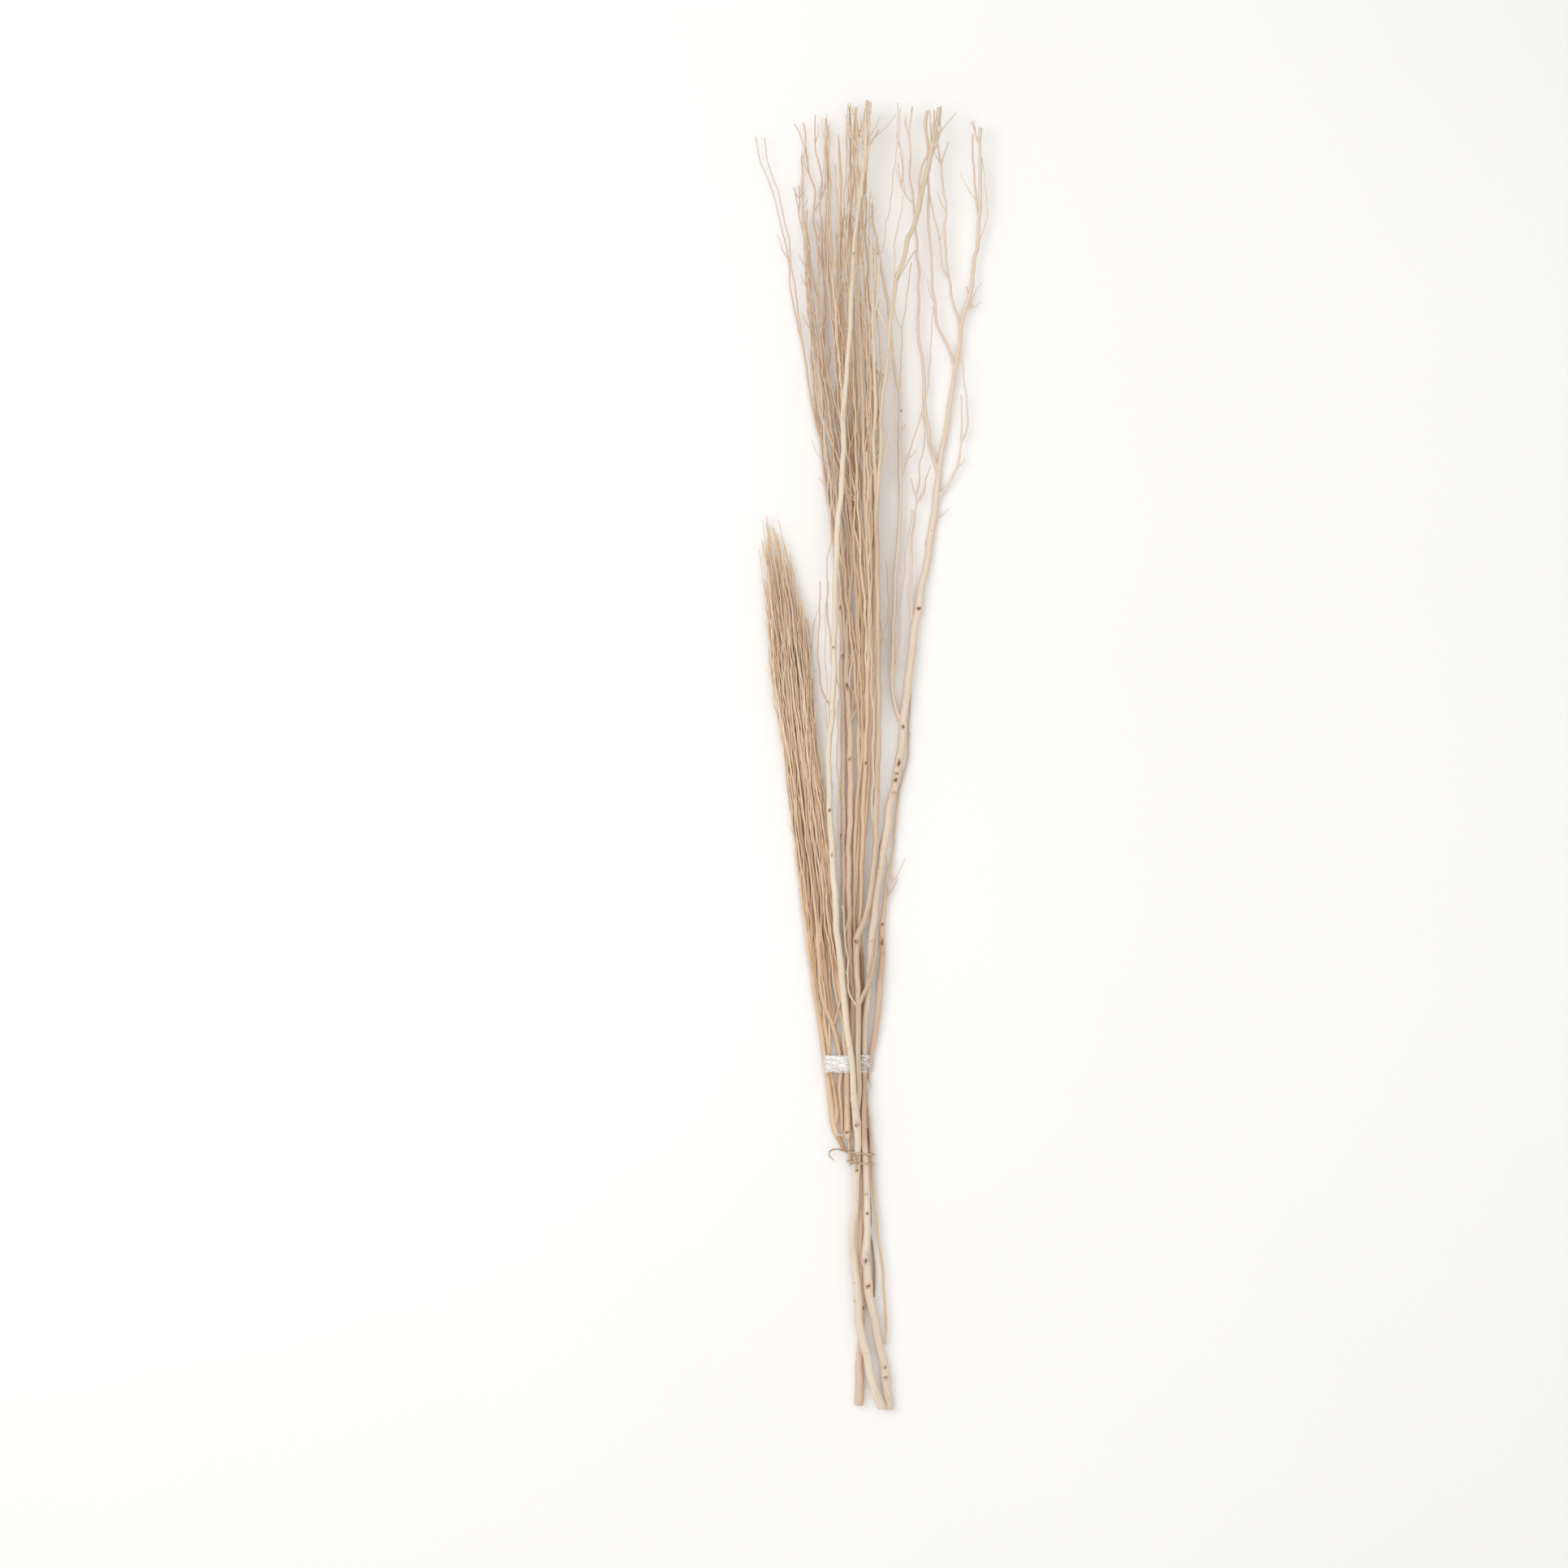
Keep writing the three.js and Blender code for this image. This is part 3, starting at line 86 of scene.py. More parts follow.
# Each branch: the strands that it is made of, in the order in which they grow out of each other.
BRANCHES = [
    {"name": "front_branch", "strands": [
        ("front", 0, [[86, 7, 5.5], [75, 40, 5.4], [69, 65, 5.2], [59, 110, 5], [56.5, 142, 4.8],
            [53.3, 180, 4.8], [49.5, 210, 4.6], [50, 226, 4.5], [54, 252, 4.3], [54.6, 284, 4.2],
            [56.5, 322, 4.2], [57, 335, 4.3], [55.3, 360, 5.2], [51.6, 395, 4], [50, 428, 3.7],
            [46, 455, 3.9], [42, 485, 4], [38, 531, 4], [34, 566, 4], [31, 595, 4], [27.4, 653, 4.1],
            [24, 704, 3.9], [22, 742, 3.5], [21, 790, 3.5], [21, 830, 3.6], [24.4, 856, 3.7],
            [27, 920, 3.4], [28.6, 1005, 3.3], [32, 1097, 3.3], [36, 1135, 3.2], [38.6, 1186, 3.1],
            [38.8, 1235, 3], [43.9, 1290, 2.8], [47.7, 1354, 2.7], [50, 1405, 2.6], [54, 1456, 2.5],
            [60.5, 1507, 2.4], [65.6, 1558, 2.2], [66.8, 1609, 1.8]]),
        ("fork", 0, [[55.3, 362, 2.8], [58.6, 395, 2.8], [57.8, 420, 3.1], [57, 442, 3.2],
            [57.3, 490, 3.4], [56, 531, 3.7], [55, 566, 3.9], [54.7, 582, 4.6], [58, 592, 4],
            [63, 602, 3.8], [67.6, 614, 3.7], [72.7, 646, 3.7], [76.5, 672, 3.9], [78.5, 704, 4.1],
            [79, 742, 4.1], [80.5, 800, 3.8], [81.5, 860, 3.5], [81.5, 920, 3.3], [81, 980, 3.1],
            [80, 1040, 2.9], [79, 1097, 2.8], [79, 1122, 2.8], [82, 1148, 2.6], [84.4, 1186, 2.5],
            [86, 1249, 2.4], [90.4, 1268, 2.4], [93, 1300, 2.3], [96.8, 1344, 2.3], [100.6, 1370, 2.3],
            [104.4, 1395, 2.4], [112, 1415, 2.7], [117, 1440, 3], [123.8, 1452, 3.1], [128.9, 1471, 3.1],
            [132.7, 1492, 3.2], [139, 1515, 3], [144, 1541, 2.8], [151.8, 1573, 2.6],
            [155.7, 1601, 2.9]]),
        ("fork", 1, [[79, 1122, 2.5], [77.5, 1148], [76, 1186], [78, 1249], [76.4, 1281], [75.7, 1312],
            [74.5, 1344], [75, 1376], [73.8, 1402], [72.6, 1440, 1.5]]),
        ("fork", 3, [[57.6, 500, 2.2], [62, 512, 2.6], [70, 530, 2.6], [76, 550, 2.3], [80, 575, 1.6],
            [81, 592, 1]]),
        ("fork", 4, [[77, 690, 1.6], [74.5, 742], [75.5, 800], [75, 860], [72.5, 920], [70, 990],
            [69.5, 1080], [67, 1180, 0.9]]),
        ("fork", 1, [[75.5, 1330, 0.9], [80, 1380], [84, 1418], [87.4, 1432], [90.6, 1462], [95.7, 1474],
            [99.5, 1522], [104, 1540], [105.3, 1607, 0.6]]),
        ("fork", -1, [[99, 1350, 0.8], [102, 1430], [107, 1465], [112, 1493, 0.6]]),
        ("fork", 0, [[94, 1322, 0.9], [82.8, 1351], [75, 1372, 0.8]]),
        ("fork", -2, [[103.5, 1385, 1], [112, 1404], [126, 1426, 0.8]]),
        ("fork", -1, [[84, 1146, 1.2], [89.5, 1167], [93.4, 1193], [98.5, 1218], [102.3, 1250, 0.8]]),
        ("fork", 2, [[78, 1148, 0.9], [71, 1167], [71, 1193], [66.6, 1231, 0.6]]),
        ("fork", -1, [[79, 925, 0.9], [86, 949], [94.2, 994], [92.3, 1022], [91, 1047, 0.6]]),
        ("fork", 1.5, [[144, 1541, 1.3], [146, 1570], [142.5, 1599, 0.9]]),
        ("front", -3, [[21.8, 866, 1.1], [13, 888], [9, 914], [8, 939], [9, 971], [10.6, 1022, 0.6]]),
        ("front", 2, [[23, 845, 1], [28.5, 856], [32, 875, 0.7]]),
        ("front", 3, [[39, 1235, 1.1], [34, 1275], [30, 1330], [27, 1400], [32, 1480],
            [33.5, 1566, 0.7]]),
        ("front", -1, [[54, 1456, 1.3], [56, 1500], [55, 1550], [54, 1601, 1]]),
        ("front", 3, [[60.5, 1507, 1.2], [67, 1540], [72.4, 1559], [78.8, 1568, 0.7]]),
        ("front", 2, [[65.6, 1558, 1.2], [70, 1580], [71.8, 1606, 0.8]]),
    ]},
    {"name": "knotty_branch", "strands": [
        ("knotty", 0, [[95, 5, 6], [93, 30, 5.7], [91, 45, 6.2], [89.5, 56, 5.2], [84.5, 78, 5],
            [77, 116, 5], [69, 157, 5.7], [68, 180, 5], [66, 188, 5.5], [66.5, 196, 5], [68, 220, 4.6],
            [68, 258, 4.3], [67, 296, 4], [65.7, 319, 3.8], [64.6, 352, 3.5], [64.4, 384, 3.4],
            [64.8, 430, 3.5], [64.8, 457, 3.7], [66.2, 485, 4], [70, 525, 4.5], [72, 560, 4.6],
            [75, 595, 5], [78, 630, 5.4], [83, 665, 5.3], [88, 695, 5.3], [92, 716, 5.5], [95, 740, 5],
            [100, 765, 4.5], [105, 790, 4.6], [109, 812, 4.8], [112, 844, 4.5], [116, 882, 5],
            [121, 920, 5], [127, 971, 5], [131, 990, 5.5], [134, 1012, 4.6], [138, 1028, 4.2],
            [144, 1060, 4.2], [149.5, 1097, 4.7], [154, 1128, 4.2], [156.5, 1161, 3.2], [161, 1186, 3.2],
            [168.6, 1231, 3.1], [176, 1281, 2.9], [180, 1302, 2.8], [184, 1338, 2.8], [194, 1376, 2.7],
            [198, 1395, 2.6], [200, 1421, 2.6], [203.5, 1435, 2.6], [206.7, 1486, 2.2],
            [207.3, 1515, 2.1], [206, 1547, 2], [207.3, 1579, 2.4]]),
        ("crown", 0, [[109, 846, 2.8], [102.5, 869, 2.8], [99.3, 894, 2.7], [99.3, 920], [100, 952],
            [101.2, 984], [102.5, 1022], [105, 1060], [108, 1091, 2.5], [108.7, 1122], [108.7, 1161],
            [107.4, 1193], [108.7, 1218], [108, 1250, 2.3], [104, 1274], [99, 1312], [95.5, 1352, 1.9],
            [89, 1389], [84, 1421], [80, 1440], [75.3, 1467], [74.7, 1487, 1.2]]),
        ("crown", 2, [[99.5, 905, 1.6], [105.7, 926], [108.2, 952], [108.2, 984], [112.7, 1028],
            [114.6, 1055], [120, 1084], [123, 1110, 0.9]]),
        ("crown", 3, [[99.3, 898, 1], [95.6, 915], [95.6, 935], [96.4, 960, 0.7]]),
        ("crown", 3, [[108, 1205, 1], [112, 1210], [115, 1215, 0.9]]),
        ("crown", 2, [[108.7, 1150, 1], [117.6, 1173], [126.5, 1199], [130.4, 1214], [135.5, 1233, 0.7]]),
        ("crown", 0, [[108, 1250, 1], [109.5, 1290], [112, 1312], [110.8, 1332], [113.4, 1351],
            [118.5, 1383], [121, 1415, 0.6]]),
        ("crown", -2, [[126, 964, 1.8], [122.8, 985], [122.5, 1020], [123.3, 1078], [126.5, 1091],
            [126.5, 1110], [129, 1118], [128.4, 1129, 1.2]]),
        ("crown", 0, [[128.4, 1127, 0.9], [124.5, 1139], [122.7, 1149, 0.9]]),
        ("crown", -2, [[128.4, 1129, 1.1], [131.6, 1142], [132.9, 1167], [136.7, 1184], [138.6, 1216],
            [141, 1250], [146.5, 1306], [146.5, 1338], [149.7, 1361, 0.7]]),
        ("crown", 1, [[129, 1120, 0.9], [136.7, 1129], [140.6, 1148], [145.7, 1165, 0.6]]),
        ("knotty", 4, [[154, 1124, 2.1], [168.6, 1142], [177.6, 1162], [182.7, 1179], [185.2, 1195],
            [184, 1215], [184, 1252, 1]]),
        ("knotty", 5, [[185, 1193, 1.4], [189.7, 1206], [191.6, 1225], [190.3, 1250], [186, 1287],
            [184.8, 1306, 0.9]]),
        ("crown", -3, [[156, 1157, 2.4], [147, 1186], [141.8, 1218], [139, 1242], [138.2, 1264],
            [135.7, 1300], [131.2, 1325], [130.6, 1351], [132.5, 1370], [131.2, 1385], [132.5, 1402],
            [129.3, 1421], [130, 1440, 1.6], [126, 1470], [123.8, 1502], [120.6, 1524], [121.2, 1546],
            [120, 1569], [123.8, 1606, 0.9]]),
        ("crown", -1, [[120.5, 1562, 0.8], [117, 1580], [113.6, 1589, 0.7]]),
        ("crown", 1, [[124.8, 1486, 0.8], [114.8, 1498], [111, 1510], [104.5, 1536, 0.6]]),
        ("crown", 0, [[114.8, 1497, 0.7], [109, 1554], [108.5, 1603, 0.6]]),
        ("knotty", 3, [[176.5, 1284, 1.9], [170, 1305], [154.2, 1340], [151.6, 1363], [148.4, 1383],
            [148.4, 1402], [144.8, 1451], [142.9, 1477], [143.5, 1510, 1.7], [141.6, 1560], [139.7, 1585],
            [141.6, 1599, 2.3]]),
        ("knotty", 3, [[183.7, 1332, 2], [178.4, 1351], [172, 1374], [168.9, 1395], [167, 1415],
            [163.8, 1440], [164.6, 1477], [160.8, 1515], [157.6, 1534], [154, 1575, 1.2]]),
        ("knotty", 5, [[168.9, 1393, 1.4], [163, 1402], [159.3, 1418], [156.7, 1440], [149.3, 1477],
            [145, 1500, 0.9]]),
        ("knotty", 2, [[206, 1470, 1.4], [201.6, 1490], [199.7, 1515], [198.4, 1541],
            [196.2, 1571, 1.1]]),
        ("knotty", 3, [[205.8, 1558, 1.1], [201, 1571], [195.2, 1586, 1]]),
        ("knotty", -2, [[203.8, 1437, 1], [208.6, 1448], [214.3, 1466], [215, 1490], [213, 1515],
            [208.6, 1543, 0.7]]),
        ("knotty", 3, [[192.6, 1368, 0.9], [192, 1379], [190, 1385, 0.8]]),
        ("knotty", 2, [[188.8, 1353, 0.9], [193.7, 1358], [197.5, 1363, 0.8]]),
        ("knotty", 6, [[150, 1098, 1], [156.5, 1109, 0.8]]),
        ("knotty", 5, [[154.3, 1566, 0.8], [157.6, 1573], [172, 1590], [178, 1596, 0.6]]),
        ("knotty", 4, [[157.8, 1532, 0.8], [167, 1561, 0.6]]),
    ]},
    {"name": "left_cut_branch", "seed": 11, "crown": (6, [0.05, 0.6], [830, 1060]), "strands": [
        ("left", 0, [[58.4, 10, 5.8], [59, 50, 5.2], [60, 78, 4.6], [62, 129, 4.4], [62, 160, 4.3],
            [60, 200, 4.2], [61, 240, 4], [61.6, 258, 4], [60.5, 279, 3.9], [60.5, 310, 3.9],
            [61.3, 330, 3.8], [62, 352, 3.8], [58.5, 384, 3.7], [56, 410, 3.6], [53.5, 430, 3.6],
            [51, 451, 3.5], [51, 490, 3.5], [50, 531, 3.5], [47, 570, 3.5], [46, 620, 3.4],
            [45.5, 690, 3.5], [47.5, 740, 3.9], [47.5, 805, 3.9], [46, 860, 3.7], [43, 895, 3.3],
            [42.5, 925, 2.8], [45, 980, 2.3], [50, 1040, 2.2], [52, 1140, 2], [55, 1240, 1.8],
            [52, 1340, 1.6], [48, 1440, 1.4], [48, 1540, 1.2], [47, 1605, 1.2]]),
        ("left", -2, [[47.5, 848, 1.7], [51, 857], [56, 869], [58.5, 890], [60, 940, 1]]),
        ("left", -2.2, [[45, 915, 1.6], [50, 934], [54.5, 952], [56, 975], [58, 1040, 0.9]]),
        ("left", -1, [[45, 905, 1.4], [50, 890], [54, 874], [55.5, 860, 0.9]]),
    ]},
    {"name": "left_fan_branch", "seed": 12, "crown": (4, [0, 0.4], [900, 1120]), "strands": [
        ("fan", 0, [[50, 350, 2], [49, 390, 2], [48, 430, 2], [46.8, 485, 2.1], [42.5, 531, 2.3],
            [40.5, 589, 2.6], [39.5, 653, 3], [39, 742, 3.3], [39, 800, 3.4], [39, 860, 3.4],
            [37.5, 920, 3.3], [37.5, 968, 3.2], [35, 995, 2.3], [30, 1040, 2], [27, 1078, 1.9],
            [24.6, 1103, 1.8], [18, 1135, 1.7], [13.8, 1166, 1.6], [11.8, 1193, 1.5], [4.2, 1218, 1.5],
            [-1, 1250, 1.4], [-5, 1274, 1.3], [-10, 1306, 1.2], [-15.2, 1332, 1.1], [-21.5, 1357, 1],
            [-26, 1383, 0.9], [-27.3, 1408, 0.8], [-36.6, 1458, 0.7], [-51.3, 1511, 0.7],
            [-64.7, 1546, 0.6], [-69, 1570, 0.6]]),
        ("fan", 2, [[39, 960, 1.9], [41.5, 985], [41, 1010], [38, 1045], [37, 1100], [34, 1170, 1.1]]),
        ("fan", 3, [[-9, 1300, 0.9], [-14, 1338], [-19.6, 1370], [-24.7, 1415], [-31.5, 1460],
            [-38, 1485], [-47, 1519], [-56.4, 1554], [-58.3, 1568, 0.6]]),
        ("fan", 2, [[11.8, 1193, 1.4], [14, 1274], [13, 1306], [11.6, 1338], [6.5, 1370], [-2.4, 1423],
            [-9, 1445], [-16, 1477], [-23, 1508, 0.7]]),
        ("fan", -1, [[13.5, 1240, 1.3], [16.7, 1399], [11.6, 1418], [6.5, 1440], [3, 1478], [3.5, 1502],
            [-3, 1523], [-5, 1548], [-10.5, 1587, 0.8]]),
        ("fan", 1, [[25.5, 1095, 1.5], [31, 1174], [28.4, 1212], [31, 1250], [29, 1330], [24, 1400],
            [20, 1470], [17.6, 1540], [17.6, 1592, 0.9]]),
        ("fan", 0, [[-4, 1540, 0.7], [-12, 1568], [-21.3, 1586, 0.6]]),
        ("fan", 2, [[16, 1380, 1], [13, 1440], [10.6, 1495], [11, 1519], [4, 1561], [4, 1596, 0.7]]),
    ]},
    {"name": "middle_branch", "seed": 13, "crown": (8, [0.05, 0.85], [790, 1120]), "strands": [
        ("middle", 0, [[63, 392, 1.8], [61.4, 408, 2.1], [60, 430, 2.4], [58.5, 470, 2.4],
            [56.5, 531, 2.4], [53, 589, 2.5], [53, 650, 2.3], [53.5, 700, 2.2], [55, 742, 2.2],
            [60, 790, 2.2], [63, 830, 2.2], [64, 880, 2.2], [62, 960, 2.1], [60, 1040, 2],
            [57, 1120, 1.9], [52, 1200, 1.8], [44, 1280, 1.6], [36, 1360, 1.4], [34, 1440, 1.2],
            [36, 1500, 1.1], [33.5, 1566, 1]]),
        ("middle", -2.8, [[53, 630, 2], [56.5, 680, 2.4], [58, 742, 2.9], [58, 813, 2.9], [58, 870, 2.6],
            [57, 930, 2.4], [55, 1000, 2.1], [52, 1080, 1.8], [50, 1180, 1.5], [47, 1280, 1.1]]),
    ]},
    {"name": "thin_right_branch", "seed": 14, "crown": (8, [0.3, 1], [780, 1120]), "strands": [
        ("thin", 0, [[91, 85, 1.5], [91, 100, 1.7], [90, 140, 1.7], [87, 180, 1.7], [83, 210, 1.7],
            [80, 240, 1.7], [76.5, 270, 1.7], [74.8, 300, 1.7], [73, 330, 1.7], [70.8, 355, 1.7],
            [69, 372, 1.7], [67.4, 388, 1.7], [66.2, 404, 1.7], [65.6, 430, 1.8], [64.2, 470, 1.8],
            [62.5, 531, 2], [60, 589, 2.4], [61, 640, 2.8], [62.5, 690, 3.1], [63.5, 742, 3.2],
            [66, 800, 2.9], [68, 860, 2.6], [70, 940, 2.4], [70, 1020, 2.3], [66, 1100, 2.2],
            [64, 1180, 2], [62, 1260, 1.8], [58, 1340, 1.6], [56, 1420, 1.4], [54, 1480, 1.2],
            [54, 1601, 1]]),
        ("thin", -2.5, [[62.5, 690, 2.2], [67.5, 742, 2.6], [70.5, 800, 2.7], [71.5, 860, 2.6],
            [73.5, 930, 2.4], [76, 1010, 2.1], [77, 1100, 1.8], [76, 1200, 1.4], [73, 1300, 1]]),
    ]},
    {"name": "right_side_branch", "strands": [
        ("side", 0, [[70, 410, 1.5], [70.8, 421, 2], [72.4, 433, 2.6], [75, 447, 3.2], [78, 465, 3.6],
            [80.8, 490, 3.8], [83.5, 520, 4], [86, 550, 3.7], [87, 590, 3], [90.5, 640, 2.1],
            [96, 672, 1.6], [99.4, 691, 1.5], [102.6, 716, 1.4], [104.5, 742, 1.4], [107, 761, 1.3],
            [112, 780, 1.3], [118, 805, 1.2], [121, 869, 1.1], [122.6, 920, 0.9]]),
        ("side", 1, [[89, 622, 1], [94, 636], [99, 654], [101, 680, 0.7]]),
    ]},
    {"name": "thin_low_twig", "strands": [
        ("low", 0, [[77, 143, 1.2], [77.5, 170, 1.6], [75, 195, 1.3], [73, 220, 1.3], [71, 270, 1.3],
            [70, 310, 1.3], [69, 350, 1.2]]),
    ]},
    {"name": "sheaf_left_spray", "sheaf": [-1, -0.42], "strands": [
        ("sheafLeft", 0, [[40.5, 324, 2.7], [34.5, 336, 3.2], [29.5, 346, 3.6], [26.5, 356, 3.8],
            [23.8, 380, 3.7], [21, 402, 3.3], [18.5, 422, 3.1], [14.2, 450, 3.2], [11.5, 470, 3],
            [8, 492, 2.8], [4.5, 515, 2.8], [1, 540, 3], [-3, 565, 2.6], [-7, 595, 2.1], [-14, 650, 1.8],
            [-23, 730, 1.7], [-31, 810, 1.7], [-35, 850, 1.8], [-39, 900, 1.5], [-43, 960, 1.2],
            [-48, 1020, 1], [-55, 1103, 0.8]]),
        ("sheafLeft", -2, [[30, 352, 2.4], [31, 366, 3], [29.5, 384, 3], [26.5, 404, 2.7], [23, 424, 2.6],
            [20, 450, 2.5], [15.5, 472, 2.4], [10.5, 492, 2], [5, 515, 1.6]]),
    ]},
    {"name": "sheaf_middle_spray", "sheaf": [-0.25, 0.25], "strands": [
        ("sheafMiddle", 0, [[37.2, 347, 2.2], [37, 362, 2.3], [35.8, 380, 2.4], [34, 400, 3],
            [35.5, 420, 3.4], [35, 434, 3.3], [32.5, 450, 3.1], [29.5, 465, 3], [25, 480, 2.9],
            [19, 493, 2.6], [14, 505, 2.4], [11, 522, 2.3], [9, 548, 2.3], [7.5, 580, 2.2], [4, 630, 2.1],
            [0, 680, 2], [-5.5, 730, 1.8], [-10, 780, 1.7], [-17, 840, 1.5], [-23.5, 900, 1.3],
            [-28, 960, 1.1], [-36, 1020, 0.9], [-45, 1082, 0.8]]),
    ]},
    {"name": "sheaf_right_spray", "sheaf": [0.42, 1], "strands": [
        ("sheafRight", 0, [[44, 338, 4.2], [44, 384, 4.1], [44, 410, 4], [43, 440, 3.9], [41, 455, 3.7],
            [40, 485, 3.4], [36, 510, 3], [30, 540, 2.7], [23.5, 580, 2.5], [18.5, 630, 2.3],
            [14, 680, 2.1], [8, 730, 1.9], [3, 780, 1.7], [-3, 840, 1.5], [-7, 900, 1.2], [-10, 960, 1],
            [-12, 1000, 0.8]]),
        ("sheafRight", 1, [[44, 345, 1], [46, 326], [47.5, 304, 0.9]]),
        ("sheafRight", -1.5, [[45, 350, 1], [48, 330], [49.3, 306, 0.9]]),
        ("sheafRight", -3, [[43, 350, 1], [45.5, 326], [46, 310, 0.9]]),
    ]},
]


# Where the crown's strands end, from left to right: most of them gather in four loose clusters.
CROWN_TIPS = ((-18, 1586), (-11, 1556), (-7, 1470), (3, 1566), (8, 1440), (15, 1582), (17, 1592),
              (20, 1586), (31, 1530), (36, 1480), (45, 1598), (49, 1604), (53, 1592), (55, 1560),
              (62, 1536), (66, 1600), (69, 1606), (72, 1603), (71, 1491), (74, 1488), (78, 1440))
GATHER_LENGTH = 280
CROWN_STEP = 80
CROWN_ROOT_RADIUS = (1.1, 1.9)
CROWN_LIFT = 2.3
CROWN_STRAY = 3.2
# How much chance moves a crown strand's lane, its tip, and its steps and lift.
LANE_CHANCE = 0.7
TIP_CHANCE = 0.12
STEP_CHANCE = 0.3
SHEAF_SEED = 7000
SHEAF_TWIGS = 40
SHEAF_ROOTS = (455, 640)
SHEAF_ROOT_INSET = 20
SHEAF_TIPS = (950, 1100)
SHEAF_STEP = 104
SHEAF_STRAY = 0.8
SHEAF_ROOT_RADIUS = (0.95, 1.25)
LANE_MARGIN = 0.085
TIP_RADIUS = 0.6
ROOT_SHARE = 0.85
RISE_POINTS = 2
DIVERGE_LENGTH = 150
GOLDEN_ANGLE = 2.399963
# Spurs grow on this stretch of a strand: where it starts, and how long it is, as shares.
SPUR_FROM = 0.35
SPUR_STRETCH = 0.6
SPUR_LENGTH = (14, 46)
SPUR_SPREAD = (0.25, 0.6)
SPUR_BEND = 0.25
SPUR_RADII = (0.75, 0.6)
SPUR_SEED = 500
WORD = 0xFFFFFFFF


def stream(seed):
    """A seeded stream of numbers from 0 to 1, the same as the solids are grown with."""
    state = seed & WORD

    def draw():
        nonlocal state
        state = (state + 0x6D2B79F5) & WORD
        mixed = ((state ^ (state >> 15)) * (1 | state)) & WORD
        mixed = ((mixed + (((mixed ^ (mixed >> 7)) * (61 | mixed)) & WORD)) ^ mixed) & WORD
        return (mixed ^ (mixed >> 14)) / (WORD + 1)

    return draw


def between(ends, share):
    return ends[0] + (ends[1] - ends[0]) * share


def smooth(share):
    return share * share * (3 - 2 * share)


def clamp01(value):
    return min(1, max(0, value))


def whole(value):
    return math.floor(value + 0.5)


def read_table(table, along, column):
    """The value in one column of a table whose first column is the distance along the bunch."""
    index = 0
    while index < len(table) - 2 and table[index + 1][0] < along:
        index += 1
    low, high = table[index], table[index + 1]
    share = clamp01((along - low[0]) / (high[0] - low[0]))
    return low[column] + (high[column] - low[column]) * smooth(share)


def nearest_point(grown, place):
    """The point on the strands grown so far that lies nearest to a place seen from above."""
    best, best_distance = None, math.inf
    for points in grown:
        start, run = points[:-1], points[1:] - points[:-1]
        reach = (place[0] - start[:, 0]) * run[:, 0] + (place[1] - start[:, 1]) * run[:, 1]
        share = np.clip(reach / (run[:, 0] ** 2 + run[:, 1] ** 2), 0, 1)
        spots = start + run * share[:, None]
        distance = np.hypot(spots[:, 0] - place[0], spots[:, 1] - place[1])
        index = int(distance.argmin())
        if distance[index] < best_distance - 1e-9:
            best_distance = distance[index]
            best = spots[index]
    return best


def settle_strand(strand, grown):
    """A strand's points get their missing radii, and their heights from its layer, root and lift."""
    layer, lift, path = strand
    known = [(index, point[2]) for index, point in enumerate(path) if len(point) > 2]
    root = nearest_point(grown, path[0]) if grown else None
    points = []
    for index, point in enumerate(path):
        share = smooth(clamp01(index / min(RISE_POINTS, len(path) - 1)))
        height = read_table(LAYERS[layer], point[1], 1) + lift * share
        if root is not None:
            height += (root[2] - read_table(LAYERS[layer], root[1], 1)) * (1 - share)
        points.append([point[0], point[1], height, read_table(known, index, 1)])
    if root is not None:
        points[0] = [root[0], root[1], root[2], min(points[0][3], root[3] * ROOT_SHARE)]
    return np.array(points, float)


def crown_strands(layer, seed, crown, stem, radii, tip_radius, stray):
    """Long strands that fill a tall crown: each leaves the stem and drifts into a lane of its own."""
    count, lanes, roots = crown
    strands = []
    for index in range(count):
        draw = stream(seed * 1000 + index)
        lane = between(lanes, (index + 0.5 + LANE_CHANCE * (draw() - 0.5)) / count)
        start = between(roots, draw())
        pick = clamp01(lane + TIP_CHANCE * (draw() - 0.5)) * len(CROWN_TIPS)
        tip, end = CROWN_TIPS[min(len(CROWN_TIPS) - 1, math.floor(pick))]
        root_radius = between(radii, draw())
        lift = CROWN_LIFT * ((index % 3) - 1 + STEP_CHANCE * (draw() - 0.5))
        root = nearest_point([stem], (read_table(CROWN_EDGES, start, 1), start))
        steps = max(3, whole((end - start) / CROWN_STEP))
        path = [(root[0], root[1], root_radius)]
        for step in range(1, steps + 1):
            along = start + (end - start) * (step + STEP_CHANCE * (draw() - 0.5)) / steps
            edges = (read_table(CROWN_EDGES, along, 1), read_table(CROWN_EDGES, along, 2))
            share = smooth(clamp01((along - start) / DIVERGE_LENGTH))
            gather = smooth(clamp01(1 - (end - along) / GATHER_LENGTH))
            spread = root[0] + (between(edges, lane) - root[0]) * share
            across = spread + (tip - spread) * gather + stray * (draw() - 0.5)
            path.append((across, along, tip_radius) if step == steps else (across, along))
        strands.append((layer, lift, path))
    return strands


